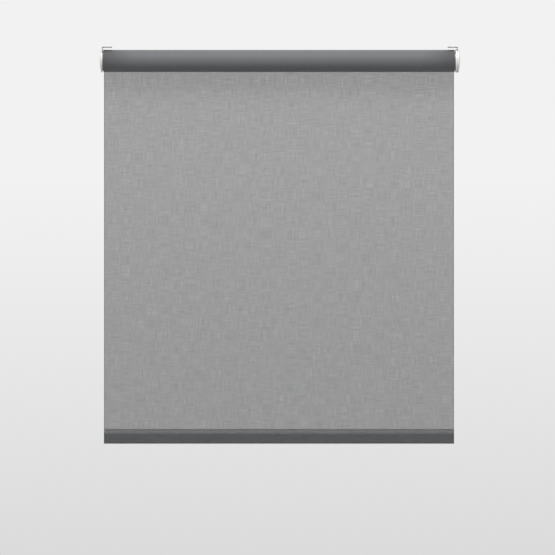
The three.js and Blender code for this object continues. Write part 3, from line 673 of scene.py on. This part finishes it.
@dataclass
class Fabric:
    """The voile from the roll to the hem, in three pieces that follow on from each other.

    Attributes:
        thickness: Thickness of the cloth.
        turns: Turns of cloth on the tube, from the tape on top to where it leaves at the back.
        first_gap: Tube to the middle of the first layer.
        allowance: Cloth above the hem's seam, behind the sheet.
        shoulder: Height in which the hem widens from its seam to the bar.
        seam_row: Stitches below the pocket's top.
        pucker: Height of the puckers under the stitches, and how soon they fade.
        stitch_pitch: Distance between stitches.
        thread: Thickness of the sewing thread.
        thread_lift: Middle of the thread above the cloth.
    """

    thickness: float = 0.44 * MM
    turns: float = 5.25
    first_gap: float = 0.62 * MM
    allowance: float = 2.0 * MM
    shoulder: float = 6.5 * MM
    seam_row: float = 1.2 * MM
    pucker: tuple[float, float] = (0.3 * MM, 4 * MM)
    stitch_pitch: float = 2.5 * MM
    thread: float = 0.34 * MM
    thread_lift: float = 0.25 * MM
    axis: Vector = field(init=False)
    left: float = field(init=False)
    right: float = field(init=False)
    outer: float = field(init=False)
    sheet_y: float = field(init=False)
    seam_z: float = field(init=False)
    veil: Voile = field(init=False)
    layers: Voile = field(init=False)

    def __post_init__(self) -> None:
        """Takes the cloth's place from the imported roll, panel and pocket."""
        low, high = corners("fabric_roll")
        panel_low, panel_high = corners("fabric_panel")
        self.axis = (low + high) / 2
        self.left, self.right = low.x, high.x
        self.sheet_y = (panel_low.y + panel_high.y) / 2
        self.outer = self.sheet_y - self.axis.y
        self.seam_z = panel_low.z
        edges = (self.left, self.right)
        self.veil = Voile("voile", "charcoal voile", "#58595B", "#6E6F72", 0.46, edges)
        self.layers = Voile("voile", "layered charcoal voile", "#58595B", "#6E6F72", 1, edges)

    def build(self) -> None:
        """Makes the roll, the hanging panel and the hem."""
        self.wound()
        self.hanging()
        self.hem()

    def thicken(self, piece: bpy.types.Object) -> None:
        """Gives a sheet the cloth's thickness, half on each side."""
        wall = piece.modifiers.new("cloth thickness", "SOLIDIFY")
        wall.thickness, wall.offset = self.thickness, 0

    def wound(self) -> None:
        """Makes the cloth that is still on the tube, as one long spiral."""
        tube_low, tube_high = corners("roller_tube")
        inner = (tube_high.y - tube_low.y) / 2 + self.first_gap
        shrink = (self.outer - inner) / (self.turns * math.tau)  # radius lost per radian
        full_angle = self.turns * math.tau
        length = self.outer * full_angle - shrink * full_angle**2 / 2

        def coil(x: float, along: float) -> Vector:
            """Puts a flat place on the spiral, which leaves the roll at the back going down."""
            root = max(self.outer**2 + 2 * shrink * along, 0.0)
            angle = (self.outer - math.sqrt(root)) / shrink
            radius = self.outer - shrink * angle
            return Vector(
                (x, self.axis.y + radius * math.cos(angle), self.axis.z + radius * math.sin(angle))
            )

        cut = Cut(self.left, self.right, -length, 0.0)
        shape = cut.shaped(10, round(self.turns * 96), coil)
        made = finished(
            "fabric_roll_cloth", shape, self.layers, "roller", ("fabric_roll",), sharp=60
        )
        self.thicken(made)

    def hanging(self) -> None:
        """Makes the veil between the roll and the hem, almost flat, with slack side edges.

        Its waves stand off towards the window only, so they clear the roll as the hem rises.
        """
        drop = self.axis.z - self.seam_z
        middle, half = (self.left + self.right) / 2, (self.right - self.left) / 2

        def hang(x: float, along: float) -> Vector:
            """Hangs a flat place: long shallow waves, and edges that curl to the window."""
            free = math.sin(math.pi * min(max(along / drop, 0), 1))
            long_wave, short_wave, edge = 0.45 * MM, 0.3 * MM, 1.4 * MM
            away = long_wave * (1 + math.sin(x * 19 + 0.8))
            away += short_wave * (1 + math.sin(x * 47 + along * 3 + 2.1))
            away += edge * math.exp(-(half - abs(x - middle)) / (11 * MM))
            return Vector((x, self.sheet_y + free * away, self.axis.z - along))

        cut = Cut(self.left, self.right, 0.0, drop)
        made = finished(
            "fabric_panel_cloth", cut.shaped(112, 116, hang), self.veil, None, ("fabric_panel",)
        )
        self.thicken(made)
        top, bottom = hang(middle, 0.0), hang(middle, drop)
        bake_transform(made)

    def hem_path(self) -> list[Vector]:
        """Gives the hem's path in section, down the front, round the bar and up the back."""
        low, high = corners("hem_pocket")
        half = (high.y - low.y - self.thickness) / 2
        bottom = low.z + self.thickness / 2 + half
        shoulder = self.seam_z - self.shoulder
        y = self.sheet_y
        front, back = [], []
        steps, flats = 12, 6
        for i in range(steps + 1):
            z = self.seam_z + (shoulder - self.seam_z) * i / steps
            swell = smooth_step(i / steps)
            behind = self.thickness + (half - self.thickness) * swell
            front.append(Vector((0, y - half * swell, z)))
            back.append(Vector((0, y + behind, z)))
        flat_steps = [bottom + (shoulder - bottom) * (1 - i / flats) for i in range(1, flats)]
        front += [Vector((0, y - half, z)) for z in flat_steps]
        under = [Vector((0, u, v)) for u, v in arc(y, bottom, half, 180, 360, 24)]
        back = [Vector((0, y + half, z)) for z in reversed(flat_steps)] + back[::-1]
        end = Vector((0, y + self.thickness, self.seam_z + self.allowance))
        return front + under + back + [end]

    def hem(self) -> None:
        """Makes the pocket that holds the bottom bar, and the row of stitches that closes it."""
        path = self.hem_path()
        reach = [0.0]
        for before, after in zip(path, path[1:]):
            reach.append(reach[-1] + (after - before).length)
        drop = self.axis.z - self.seam_z
        seam_row = self.seam_z - self.seam_row
        height, fade = self.pucker

        def fold(x: float, along: float) -> Vector:
            """Puts a flat place on the hem's path, with small puckers under the stitches."""
            gone = min(max(along - drop, 0.0), reach[-1])
            i = next(k for k in range(1, len(reach)) if gone <= reach[k] + MERGE)
            share = (gone - reach[i - 1]) / (reach[i] - reach[i - 1])
            at = path[i - 1].lerp(path[i], share)
            below = (seam_row - at.z) / fade
            pucker = height * below * math.exp(1 - abs(below)) if 0 < below < 6 else 0.0
            ripple = math.sin(x * 610 + 1.3 * math.sin(x * 83))
            side = -1 if at.y < self.sheet_y else 1
            return Vector((x, at.y + side * pucker * ripple, at.z))

        cut = Cut(self.left, self.right, drop, drop + reach[-1])
        made = finished(
            "hem_pocket_cloth", cut.shaped(280, 64, fold), self.veil, "hem", ("hem_pocket",)
        )
        self.thicken(made)
        in_front, behind = self.thickness / 2, self.thickness * 1.5
        rows = [
            self.stitches("hem_stitches_front", -in_front - self.thread_lift, seam_row),
            self.stitches("hem_stitches_back", behind + self.thread_lift, seam_row),
        ]

    def stitches(self, name: str, offset: float, z: float) -> bpy.types.Object:
        """Makes a row of lockstitches, each a short thread that dips into the cloth."""
        start = self.left + 3 * MM
        count = int((self.right - self.left - 6 * MM) / self.stitch_pitch)
        half = self.stitch_pitch * 0.44
        bm = bmesh.new()
        middle = Vector((start + self.stitch_pitch / 2, self.sheet_y + offset, z))
        place = Matrix.Translation(middle) @ Matrix.Rotation(math.pi / 2, 4, "Y")
        place = place @ Matrix.Diagonal((self.thread / 2, self.thread / 2, half, 1))
        bmesh.ops.create_uvsphere(bm, u_segments=6, v_segments=5, radius=1, matrix=place)
        made = finished(name, bm, SEWING_THREAD, "hem", sharp=80)
        row = made.modifiers.new("row", "ARRAY")
        row.count, row.use_relative_offset, row.use_constant_offset = count, False, True
        row.constant_offset_displace = (self.stitch_pitch, 0, 0)
        return made


# ---------------------------------------------------------------- brackets


class Side(Enum):
    """The end of the blind, and which way its inside faces along X."""

    LEFT = ("left", 1)
    RIGHT = ("right", -1)

    @property
    def label(self) -> str:
        """The side's word in the node names."""
        return self.value[0]

    @property
    def inward(self) -> int:
        """1 where the inside is towards +X, and -1 where it is towards -X."""
        return self.value[1]


@dataclass
class Bracket:
    """A pressed steel bracket with folded fixing flanges, and the domed cover over it.

    Attributes:
        side: Which end it is.
        sheet: Thickness of the steel.
        fold: Outer radius of the folds.
        half_depth: Half the top flange, front to back, and the radius of the web's nose.
        back_top: Top of the back flange, above the tube's axis.
        back_drop: Bottom of the back flange, below the tube's axis.
        back_middle: Middle of the back flange's slots, above the tube's axis.
        nose_start: Where the nose leaves the line from the back flange, in degrees.
        corner: Radius of the flanges' free corners.
        slot: Width and length of the fixing slots.
        top_pitch: Distance between the slots of the top flange.
        back_pitch: Distance between the slots of the back flange.
        hole: Half the web's opening, round on the left and square on the right.
        fit: Gap between the web and the cover's notches.
        cover_wall: Wall of the cover.
        cover_rise: Height of the cover's dome.
        cover_edge: Radius of the cover's edge.
    """

    side: Side
    sheet: float = 1.8 * MM
    fold: float = 2.6 * MM
    half_depth: float = 20 * MM
    back_top: float = 20 * MM
    back_drop: float = 14 * MM
    back_middle: float = 3 * MM
    nose_start: float = -50
    corner: float = 2.5 * MM
    slot: tuple[float, float] = (4.6 * MM, 9 * MM)
    top_pitch: float = 22 * MM
    back_pitch: float = 18 * MM
    hole: dict[Side, float] = field(
        default_factory=lambda: {Side.LEFT: 4.4 * MM, Side.RIGHT: 8.3 * MM}
    )
    fit: float = 0.3 * MM
    cover_wall: float = 1.4 * MM
    cover_rise: float = 3.0 * MM
    cover_edge: float = 0.6 * MM

    def build(self, axis: Vector) -> None:
        """Makes the bracket and its cover round the tube's axis."""
        self.pressing(axis)
        self.cover(axis)

    def pressing(self, axis: Vector) -> None:
        """Folds the two flanges from the web, gives the sheet its thickness and cuts it."""
        name = f"{self.side.label}_bracket"
        low, high = corners(name)
        inward = self.side.inward
        web_x, free_x = (low.x, high.x) if inward > 0 else (high.x, low.x)
        outline = self.web_outline(axis, high, 0.0)
        bm = bmesh.new()
        points = [bm.verts.new((web_x, y, z)) for y, z in outline]
        bm.faces.new(points)
        bm.verts.ensure_lookup_table()
        folds = [bm.edges.get(points[:2]), bm.edges.get(points[2:4])]
        grown = bmesh.ops.extrude_edge_only(bm, edges=folds)["geom"]
        free = [g for g in grown if isinstance(g, bmesh.types.BMVert)]
        bmesh.ops.translate(bm, verts=free, vec=(free_x - web_x, 0, 0))
        bmesh.ops.bevel(
            bm, geom=free, offset=self.corner, segments=6, profile=0.5, affect="VERTICES",
            material=-1,
        )  # fmt: skip
        folds = [edge for edge in bm.edges if len(edge.link_faces) == 2]
        bmesh.ops.bevel(
            bm, geom=folds, offset=self.fold, segments=8, profile=0.5, affect="EDGES",
            material=-1,
        )  # fmt: skip
        bmesh.ops.recalc_face_normals(bm, faces=bm.faces)
        web = max(bm.faces, key=lambda face: face.calc_area())
        if web.normal.x * inward > 0:
            bmesh.ops.reverse_faces(bm, faces=bm.faces)
        made = finished(
            name.replace("bracket", "bracket_pressing"),
            carved(bm, self.openings(axis, low, high), thickness=self.sheet),
            POWDER_COAT,
            "brackets",
            (name,),
        )
        round_edges(made, 0.25 * MM)

    def web_outline(self, axis: Vector, high: Vector, grown: float) -> Outline:
        """Gives the web's outline, grown by an offset, from its top edge clockwise."""
        half = self.half_depth + grown
        top, back = high.z + grown, high.y + grown
        shoulder, drop = axis.z + self.back_top + grown, axis.z - self.back_drop - grown
        nose = arc(axis.y, axis.z, half, self.nose_start, -180, 28)
        return [(-half, top), (half, top), (back, shoulder), (back, drop), *nose]

    def openings(self, axis: Vector, low: Vector, high: Vector) -> list[BMesh]:
        """Gives the solids that cut the slots and the web's opening."""
        middle = (low.x + high.x) / 2
        back_middle = axis.z + self.back_middle
        cuts = []
        for way in (-0.5, 0.5):
            top = slot_outline(middle, way * self.top_pitch, *self.slot)
            cuts.append(prism(top, high.z - 3 * self.sheet, high.z + self.sheet, Along.Z))
            back = slot_outline(middle, back_middle + way * self.back_pitch, *self.slot)
            cuts.append(prism(back, high.y - 3 * self.sheet, high.y + self.sheet, Along.Y))
        half = self.hole[self.side]
        opening = arc(axis.y, axis.z, half, 0, 345, 23)
        if self.side is Side.RIGHT:
            opening = box_outline(axis.y, axis.z, half, half)
        web_x = low.x if self.side is Side.LEFT else high.x
        cuts.append(prism(opening, web_x - 3 * self.sheet, web_x + 3 * self.sheet, Along.X))
        return cuts

    def cover(self, axis: Vector) -> None:
        """Spins the domed cover with a skirt, and notches the skirt where the web passes."""
        name = f"{self.side.label}_bracket_cover"
        low, high = corners(name)
        radius, depth = (high.z - low.z) / 2, high.x - low.x
        sphere = (radius**2 + self.cover_rise**2) / (2 * self.cover_rise)
        soft = self.cover_edge
        inner = radius - self.cover_wall
        steps = 14

        def dome(r: float) -> float:
            """Gives how far the dome has fallen from its crown at a radius."""
            return sphere - math.sqrt(sphere**2 - r**2)

        flat = radius - soft
        outside = [(dome(flat * i / steps), flat * i / steps) for i in range(steps + 1)]
        rim = [(dome(flat) + soft - y, flat + x) for x, y in arc(0, 0, soft, 75, 0, 4)]
        inside = [
            (dome(r) + self.cover_wall, r)
            for r in (inner * (1 - i / steps) for i in range(steps + 1))
        ]
        profile = [*outside, *rim, (depth, radius), (depth, inner), *inside]
        crown, inward = (low.x, 1) if self.side is Side.LEFT else (high.x, -1)
        placed = [(inward * u, r) for u, r in profile]
        shape = turned(placed, Vector((crown, axis.y, axis.z)), 128)
        web_low, web_high = corners(f"{self.side.label}_bracket")
        notch = self.web_outline(axis, web_high, self.fit)
        start = (web_low.x if inward > 0 else web_high.x) - inward * self.fit
        passage = prism(notch, *sorted((start, start + inward * 2 * depth)), Along.X)
        made = finished(
            name.replace("cover", "cover_cap"),
            carved(shape, [passage]),
            WHITE_ABS,
            "brackets",
            (name,),
        )
        round_edges(made, 0.15 * MM)


# ---------------------------------------------------------------- motor head and idle end


@dataclass
class MotorHead:
    """The white head of the tubular motor, with its charging pocket, button and square lug.

    Attributes:
        round: Radius of the flange's edges.
        wall: Floor of the head behind the flange's outer face.
        spigot_wall: Wall of the spigot inside the motor tube.
        lug_half: Half the width of the square lug.
        lug_reach: Lug beyond the flange.
        spigot: Length of the spigot inside the motor tube.
        groove: Radius of the neck for the clip, and its start and end from the lug's end.
        button: Radius of the button, and of its shoulder.
        tip: Radius of the button's edge.
        seat: Ledge that the shoulder rests on, above the bottom of the head.
        shoulder: Height of the shoulder.
        fit: Gap round the button and the socket.
    """

    round: float = 1.0 * MM
    wall: float = 1.0 * MM
    spigot_wall: float = 1.2 * MM
    lug_half: float = 8 * MM
    lug_reach: float = 3.9 * MM
    spigot: float = 12 * MM
    groove: tuple[float, float, float] = (6 * MM, 1.6 * MM, 0.7 * MM)
    button: tuple[float, float] = (1.0 * MM, 1.35 * MM)
    tip: float = 0.4 * MM
    seat: float = 11 * MM
    shoulder: float = 1.5 * MM
    fit: float = 0.3 * MM

    def build(self, axis: Vector) -> None:
        """Makes the head and the button round the tube's axis."""
        self.head(axis)
        self.set_button()

    def head(self, axis: Vector) -> None:
        """Spins the head, joins its lug, and cuts the groove, the pocket and the button's hole."""
        low, high = corners("motor_head")
        radius = (high.z - low.z) / 2
        case_low, case_high = corners("gear_case")
        spigot = (case_high.y - case_low.y) / 2
        outer = high.x - self.lug_reach
        inner = low.x + self.spigot
        bore = spigot - self.spigot_wall
        floor = outer - self.wall
        profile = [(floor, 0), (floor, bore), (low.x, bore), (low.x, spigot), (inner, spigot)]
        profile += [*soft_rim(inner, outer, radius, self.round, 6), (outer, 0)]
        centre = Vector((0, axis.y, axis.z))
        body = turned(profile, centre, 128)
        half = self.lug_half
        square = box_outline(axis.y, axis.z, half, half)
        lug = prism(square, outer - self.wall / 2, high.x, Along.X)
        neck, back, front = self.groove
        ring = [(high.x - back, neck), (high.x - back, 2 * half), (high.x - front, 2 * half)]
        groove = turned([*ring, (high.x - front, neck)], centre, 48)
        made = finished(
            "motor_head_body",
            carved(body, [groove, *self.pocket(), *self.button_holes()], [lug]),
            WHITE_ABS,
            "brackets",
            ("motor_head",),
        )
        round_edges(made, 0.2 * MM)

    def pocket(self) -> list[BMesh]:
        """Gives the solid that cuts the pocket round the charging socket."""
        low, high = corners("charge_socket")
        middle, half = (low + high) / 2, (high - low) / 2
        outline = box_outline(middle.x, middle.y, half.x + 0.2 * MM, half.y + self.fit)
        return [prism(outline, low.z - 6 * MM, high.z + self.fit, Along.Z)]

    def button_holes(self) -> list[BMesh]:
        """Gives the solids that cut the button's guide hole and its shoulder's chamber."""
        low, high = corners("set_button")
        x, y = (low.x + high.x) / 2, (low.y + high.y) / 2
        top = high.z + 1 * MM
        guide, chamber = (radius + self.fit for radius in self.button)
        seat = corners("motor_head")[0].z + self.seat
        holes = []
        for radius, start in ((guide, low.z - 3 * MM), (chamber, seat)):
            holes.append(prism(arc(x, y, radius, 0, 345, 23), start, top, Along.Z))
        return holes

    def set_button(self) -> None:
        """Spins the setting button, with a soft tip and a shoulder that keeps it in."""
        low, high = corners("set_button")
        radius, shoulder = self.button
        centre = Vector(((low.x + high.x) / 2, (low.y + high.y) / 2, 0))
        tip = [(low.z + self.tip * (1 - y), radius - self.tip * (1 - x))
               for x, y in arc(0, 0, 1, 90, 0, 5)]  # fmt: skip
        seat = corners("motor_head")[0].z + self.seat + self.fit
        top = seat + self.shoulder
        end = high.z - 0.1 * MM  # just clear of the switch when the button is right in
        ledge = [(seat, radius), (seat, shoulder), (top, shoulder), (top, radius)]
        shape = turned([(low.z, 0), *tip, *ledge, (end, radius), (end, 0)], centre, 32, Along.Z)
        finished("set_button_cap", shape, BLACK_NYLON, "set_button", ("set_button",))


@dataclass
class TubeEnds:
    """The white plastic in the tube's ends: the idle plug, and the crown that the motor carries.

    Attributes:
        flange: Thickness of each flange, which stands outside the tube.
        lip: Radius of the flanges' edges.
        step: How much smaller the part inside the tube is than the flange.
        wall: Wall of the plug inside the tube.
        pocket: Depth of the ring-shaped pocket in the plug.
        hub: Radius of the plug's hub, and of the spring's chamber in it.
        fit: Gap between pieces that are fixed to each other.
        running: Gap between the crown and the motor's tube.
        key: Half the width of the tube's two inner keys, and their height.
    """

    flange: float = 1.2 * MM
    lip: float = 0.3 * MM
    step: float = 1.4 * MM
    wall: float = 2.0 * MM
    pocket: float = 35.7 * MM
    hub: tuple[float, float] = (9.5 * MM, 7.5 * MM)
    fit: float = 0.3 * MM
    running: float = 0.4 * MM
    key: tuple[float, float] = (1.3 * MM, 1.6 * MM)

    def build(self, axis: Vector) -> None:
        """Makes the plug and the crown round the tube's axis."""
        self.plug(axis)
        self.crown(axis)

    def moulded(
        self, node: str, profile: Outline, axis: Vector, slots: tuple[float, float]
    ) -> None:
        """Spins one of the two and cuts the slots that pass the tube's keys.

        Args:
            node: The CAD node that it stands for.
            profile: Points (place along the tube, radius).
            axis: A point on the tube's axis.
            slots: Where the slots start and end along the tube.
        """
        low, high = corners(node)
        radius = (high.z - low.z) / 2
        half, height = self.key
        deep = (self.step + height) / 2
        cuts = []
        for way in (1, -1):
            middle = axis.z + way * (radius - deep)
            outline = box_outline(axis.y, middle, half + self.fit, deep)
            cuts.append(prism(outline, *slots, Along.X))
        shape = turned(profile, Vector((0, axis.y, axis.z)), 128)
        finished(f"{node}_moulding", carved(shape, cuts), WHITE_ABS, "roller", (node,))

    def plug(self, axis: Vector) -> None:
        """Makes the plug, with the bush's seat, the spring's chamber and a pocket round them."""
        low, high = corners("idle_plug")
        bush_low, bush_high = corners("idle_bush")
        radius = (high.z - low.z) / 2
        body = radius - self.step
        bore = (bush_high.z - bush_low.z) / 2 + self.fit
        neck, floor = low.x + self.flange, high.x - self.pocket
        hub, chamber = self.hub
        seat = bush_high.x + self.fit
        rim = soft_rim(low.x, neck, radius, self.lip, 5)
        outside = [(low.x, bore), *rim, (neck, body), (high.x, body)]
        ring = [(high.x, body - self.wall), (floor, body - self.wall), (floor, hub), (high.x, hub)]
        inside = [(high.x, chamber), (seat, chamber), (seat, bore)]
        self.moulded("idle_plug", [*outside, *ring, *inside], axis, (neck, high.x + self.fit))

    def crown(self, axis: Vector) -> None:
        """Makes the crown that runs on the motor's tube and closes the tube's right end."""
        low, high = corners("crown_ring")
        tube_low, tube_high = corners("motor_tube")
        radius = (high.z - low.z) / 2
        body = radius - self.step
        bore = (tube_high.z - tube_low.z) / 2 + self.running
        neck = high.x - self.flange
        rim = soft_rim(neck, high.x, radius, self.lip, 5)
        profile = [(low.x, bore), (low.x, body), (neck, body), *rim]
        self.moulded("crown_ring", [*profile, (high.x, bore)], axis, (low.x - self.fit, neck))


@dataclass
class IdleSpring:
    """The coil spring that pushes the idle pin out, wound here at its rest length.

    Attributes:
        turns: Number of turns.
        wire: Radius of the wire.
        steps: Facets in each turn.
    """

    turns: float = 6.5
    wire: float = 0.6 * MM
    steps: int = 24

    def build(self, axis: Vector) -> None:
        """Winds the wire and closes its ends."""
        low, high = corners("idle_spring")
        radius = (high.z - low.z) / 2 - self.wire
        start, end = low.x + self.wire, high.x - self.wire
        bm = bmesh.new()
        place = Matrix.Translation((start, axis.y, axis.z + radius))
        place = place @ Matrix.Rotation(math.pi / 2, 4, "X")
        bmesh.ops.create_circle(bm, segments=10, radius=self.wire, matrix=place)
        count = round(self.turns * self.steps)
        bmesh.ops.spin(
            bm,
            geom=list(bm.verts) + list(bm.edges),
            cent=axis,
            axis=(1, 0, 0),
            dvec=((end - start) / count, 0, 0),
            angle=self.turns * math.tau,
            steps=count,
        )
        bmesh.ops.holes_fill(bm, edges=[edge for edge in bm.edges if edge.is_boundary])
        made = finished("idle_spring_coil", cleaned(bm), PLATED_STEEL, None, ("idle_spring",))
        ends = (Vector((x, axis.y, axis.z)) for x in (start, end))
        next(ends)
        next(ends)
        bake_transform(made)


@dataclass
class BarCap:
    """A plug in one end of the bottom bar: a plate with soft edges and a shallow dish.

    Attributes:
        side: Which end it is.
        plate: Thickness of the plate.
        spigot_wall: How much smaller the spigot is than the plate, all round.
        dish: Depth of the dish in the face, and the width of the rim round it.
    """

    side: Side
    plate: float = 1.9 * MM
    spigot_wall: float = 1.35 * MM
    dish: tuple[float, float] = (0.35 * MM, 1.0 * MM)

    def build(self) -> None:
        """Makes the plate and its spigot, and dishes the face that shows."""
        name = f"bar_cap_{self.side.label}"
        low, high = corners(name)
        radius, y = (high.y - low.y) / 2, (low.y + high.y) / 2
        inward = self.side.inward
        face, end = (low.x, high.x) if inward > 0 else (high.x, low.x)

        def oval(inset: float, near: float, far: float) -> BMesh:
            """Gives a pulled-in prism of the bar's section between two distances from the face."""
            outline = oval_outline(y, high.z - radius, low.z + radius, radius - inset)
            spots = sorted((face + inward * near, face + inward * far))
            return prism(outline, *spots, Along.X)

        depth, rim = self.dish
        spigot = oval(self.spigot_wall, self.plate - 0.3 * MM, abs(end - face))
        dish = oval(rim, -rim, depth)
        shape = carved(oval(0, 0, self.plate), [dish], [spigot])
        made = finished(f"{name}_plug", shape, BLACK_NYLON, "hem", (name,))
        round_edges(made, 0.25 * MM)


# ---------------------------------------------------------------- studio


@dataclass
class Studio:
    """Camera, plain floor and soft lights.

    Attributes:
        eye: Where the camera stands, level with the middle of the view.
        view_width: Width that the camera takes in, at the tube.
        backdrop: Colour of the studio behind the blind.
        backdrop_painted_shade: Its colour lower down, darker than the top as painted shade.
        light: Strength of the even light from below and from above.
        floor_drop: Floor below the origin.
    """

    eye: tuple[float, float, float] = (0.4009, -8.0, -0.5423)
    view_width: float = 1.303
    backdrop: str = "#F2F2F2"
    # Painted shade: the backdrop darkens to this colour towards the bottom.
    backdrop_painted_shade: str = "#DADADA"
    light: tuple[float, float] = (0.28, 0.76)
    floor_drop: float = 1.34

    def build(self) -> None:
        """Makes the camera, the world, the floor and the softboxes."""
        scene = bpy.context.scene
        scene.view_settings.view_transform = "Standard"
        data = bpy.data.cameras.new("camera")
        data.sensor_width = 36
        data.lens = data.sensor_width * abs(self.eye[1]) / self.view_width
        camera = bpy.data.objects.new("camera", data)
        camera.location = self.eye
        camera.rotation_euler = (math.pi / 2, 0, 0)
        scene.collection.objects.link(camera)
        scene.camera = camera
        self.world()
        self.floor()
        self.softbox("key softbox", 58, 0, 1.9, (1.8, 0.6), 32)
        self.softbox("back softbox", 40, 180, 3.0, (2.0, 1.2), 13)

    def world(self) -> None:
        """Surrounds the blind with even light, brighter above, and a pale backdrop with painted
        shade that darkens it towards the bottom.
        """
        world = bpy.data.worlds.new("studio")
        bpy.context.scene.world = world
        world.use_nodes = True
        tree = world.node_tree
        tree.nodes.clear()
        way = add_node(tree, "ShaderNodeTexCoord").outputs["Generated"]
        height = add_node(tree, "ShaderNodeSeparateXYZ", {"Vector": way}).outputs["Z"]
        rise = add_node(
            tree, "ShaderNodeMapRange", {"Value": height, "From Min": -0.085, "From Max": 0.03}
        ).outputs["Result"]
        # The backdrop is painted darker lower down: painted shade, which the veil lets through.
        painted_shade_backdrop = {0: rise, 6: linear(self.backdrop_painted_shade), 7: linear(self.backdrop)}
        seen = add_node(tree, "ShaderNodeMix", painted_shade_backdrop, data_type="RGBA").outputs[2]
        below, above = self.light
        light = add_node(
            tree,
            "ShaderNodeMapRange",
            {"Value": height, "From Min": -1.0, "From Max": 1.0, "To Min": below, "To Max": above},
        ).outputs["Result"]
        by_eye = add_node(tree, "ShaderNodeLightPath").outputs["Is Camera Ray"]
        both = add_node(
            tree, "ShaderNodeMix", {0: by_eye, 6: light, 7: seen}, data_type="RGBA"
        ).outputs[2]
        glow = add_node(tree, "ShaderNodeBackground", {"Color": both}).outputs[0]
        add_node(tree, "ShaderNodeOutputWorld", {"Surface": glow})

    def floor(self) -> None:
        """Lays a plain pale round floor under the blind."""
        bm = bmesh.new()
        place = Matrix.Translation((self.eye[0], 0.0, -self.floor_drop))
        bmesh.ops.create_circle(bm, cap_ends=True, segments=96, radius=1.5, matrix=place)
        floor = new_object("floor", bm)
        paint = Finish(
            "floor", "matt floor paint", "#D6D6D6", "#D2D2D2", 0.6, (0.8, 0.95),
            20 * MM, 0.1 * MM,
        )  # fmt: skip
        floor.data.materials.append(paint.material())

    def softbox(
        self,
        name: str,
        rise: float,
        turn: float,
        distance: float,
        size: tuple[float, float],
        power: float,
    ) -> None:
        """Hangs a rectangular soft light that faces the blind.

        Args:
            name: The light's name.
            rise: Degrees above the blind.
            turn: Degrees round from the front.
            distance: Distance from the blind's middle.
            size: Width and height of the light.
            power: Power in watts.
        """
        data = bpy.data.lights.new(name, "AREA")
        data.shape, data.energy = "RECTANGLE", power
        data.size, data.size_y = size
        lamp = bpy.data.objects.new(name, data)
        up, round_ = math.radians(rise), math.radians(turn)
        away = Vector(
            (math.sin(round_) * math.cos(up), -math.cos(round_) * math.cos(up), math.sin(up))
        )
        lamp.location = Vector((self.eye[0], 0, -0.3)) + away * distance
        lamp.rotation_euler = away.to_track_quat("Z", "Y").to_euler()
        bpy.context.scene.collection.objects.link(lamp)


def dress_cad_nodes(frame: dict) -> None:
    """Gives each CAD node that is kept the finish of its slot."""
    finishes = {finish.slot: finish for finish in HARD_FINISHES}
    for name, node in frame["nodes"].items():
        for place in node.material_slots:
            kind = place.material.name.split(".")[0] if place.material else ""
            if kind in finishes:
                place.material = finishes[kind].material()
        if not node.hide_render:
            log.info("%s: kept, %s", name, [m.material.name for m in node.material_slots])


def main() -> None:
    """Builds the blind on its frame, piece by piece."""
    logging.basicConfig(level=logging.INFO, format="%(name)s: %(message)s")
    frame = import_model()
    Studio().build()
    fabric = Fabric()
    fabric.build()
    for side in Side:
        Bracket(side).build(fabric.axis)
        BarCap(side).build()
    MotorHead().build(fabric.axis)
    TubeEnds().build(fabric.axis)
    IdleSpring().build(Vector((0, fabric.axis.y, fabric.axis.z)))
    dress_cad_nodes(frame)


if __name__ == "__main__":
    main()
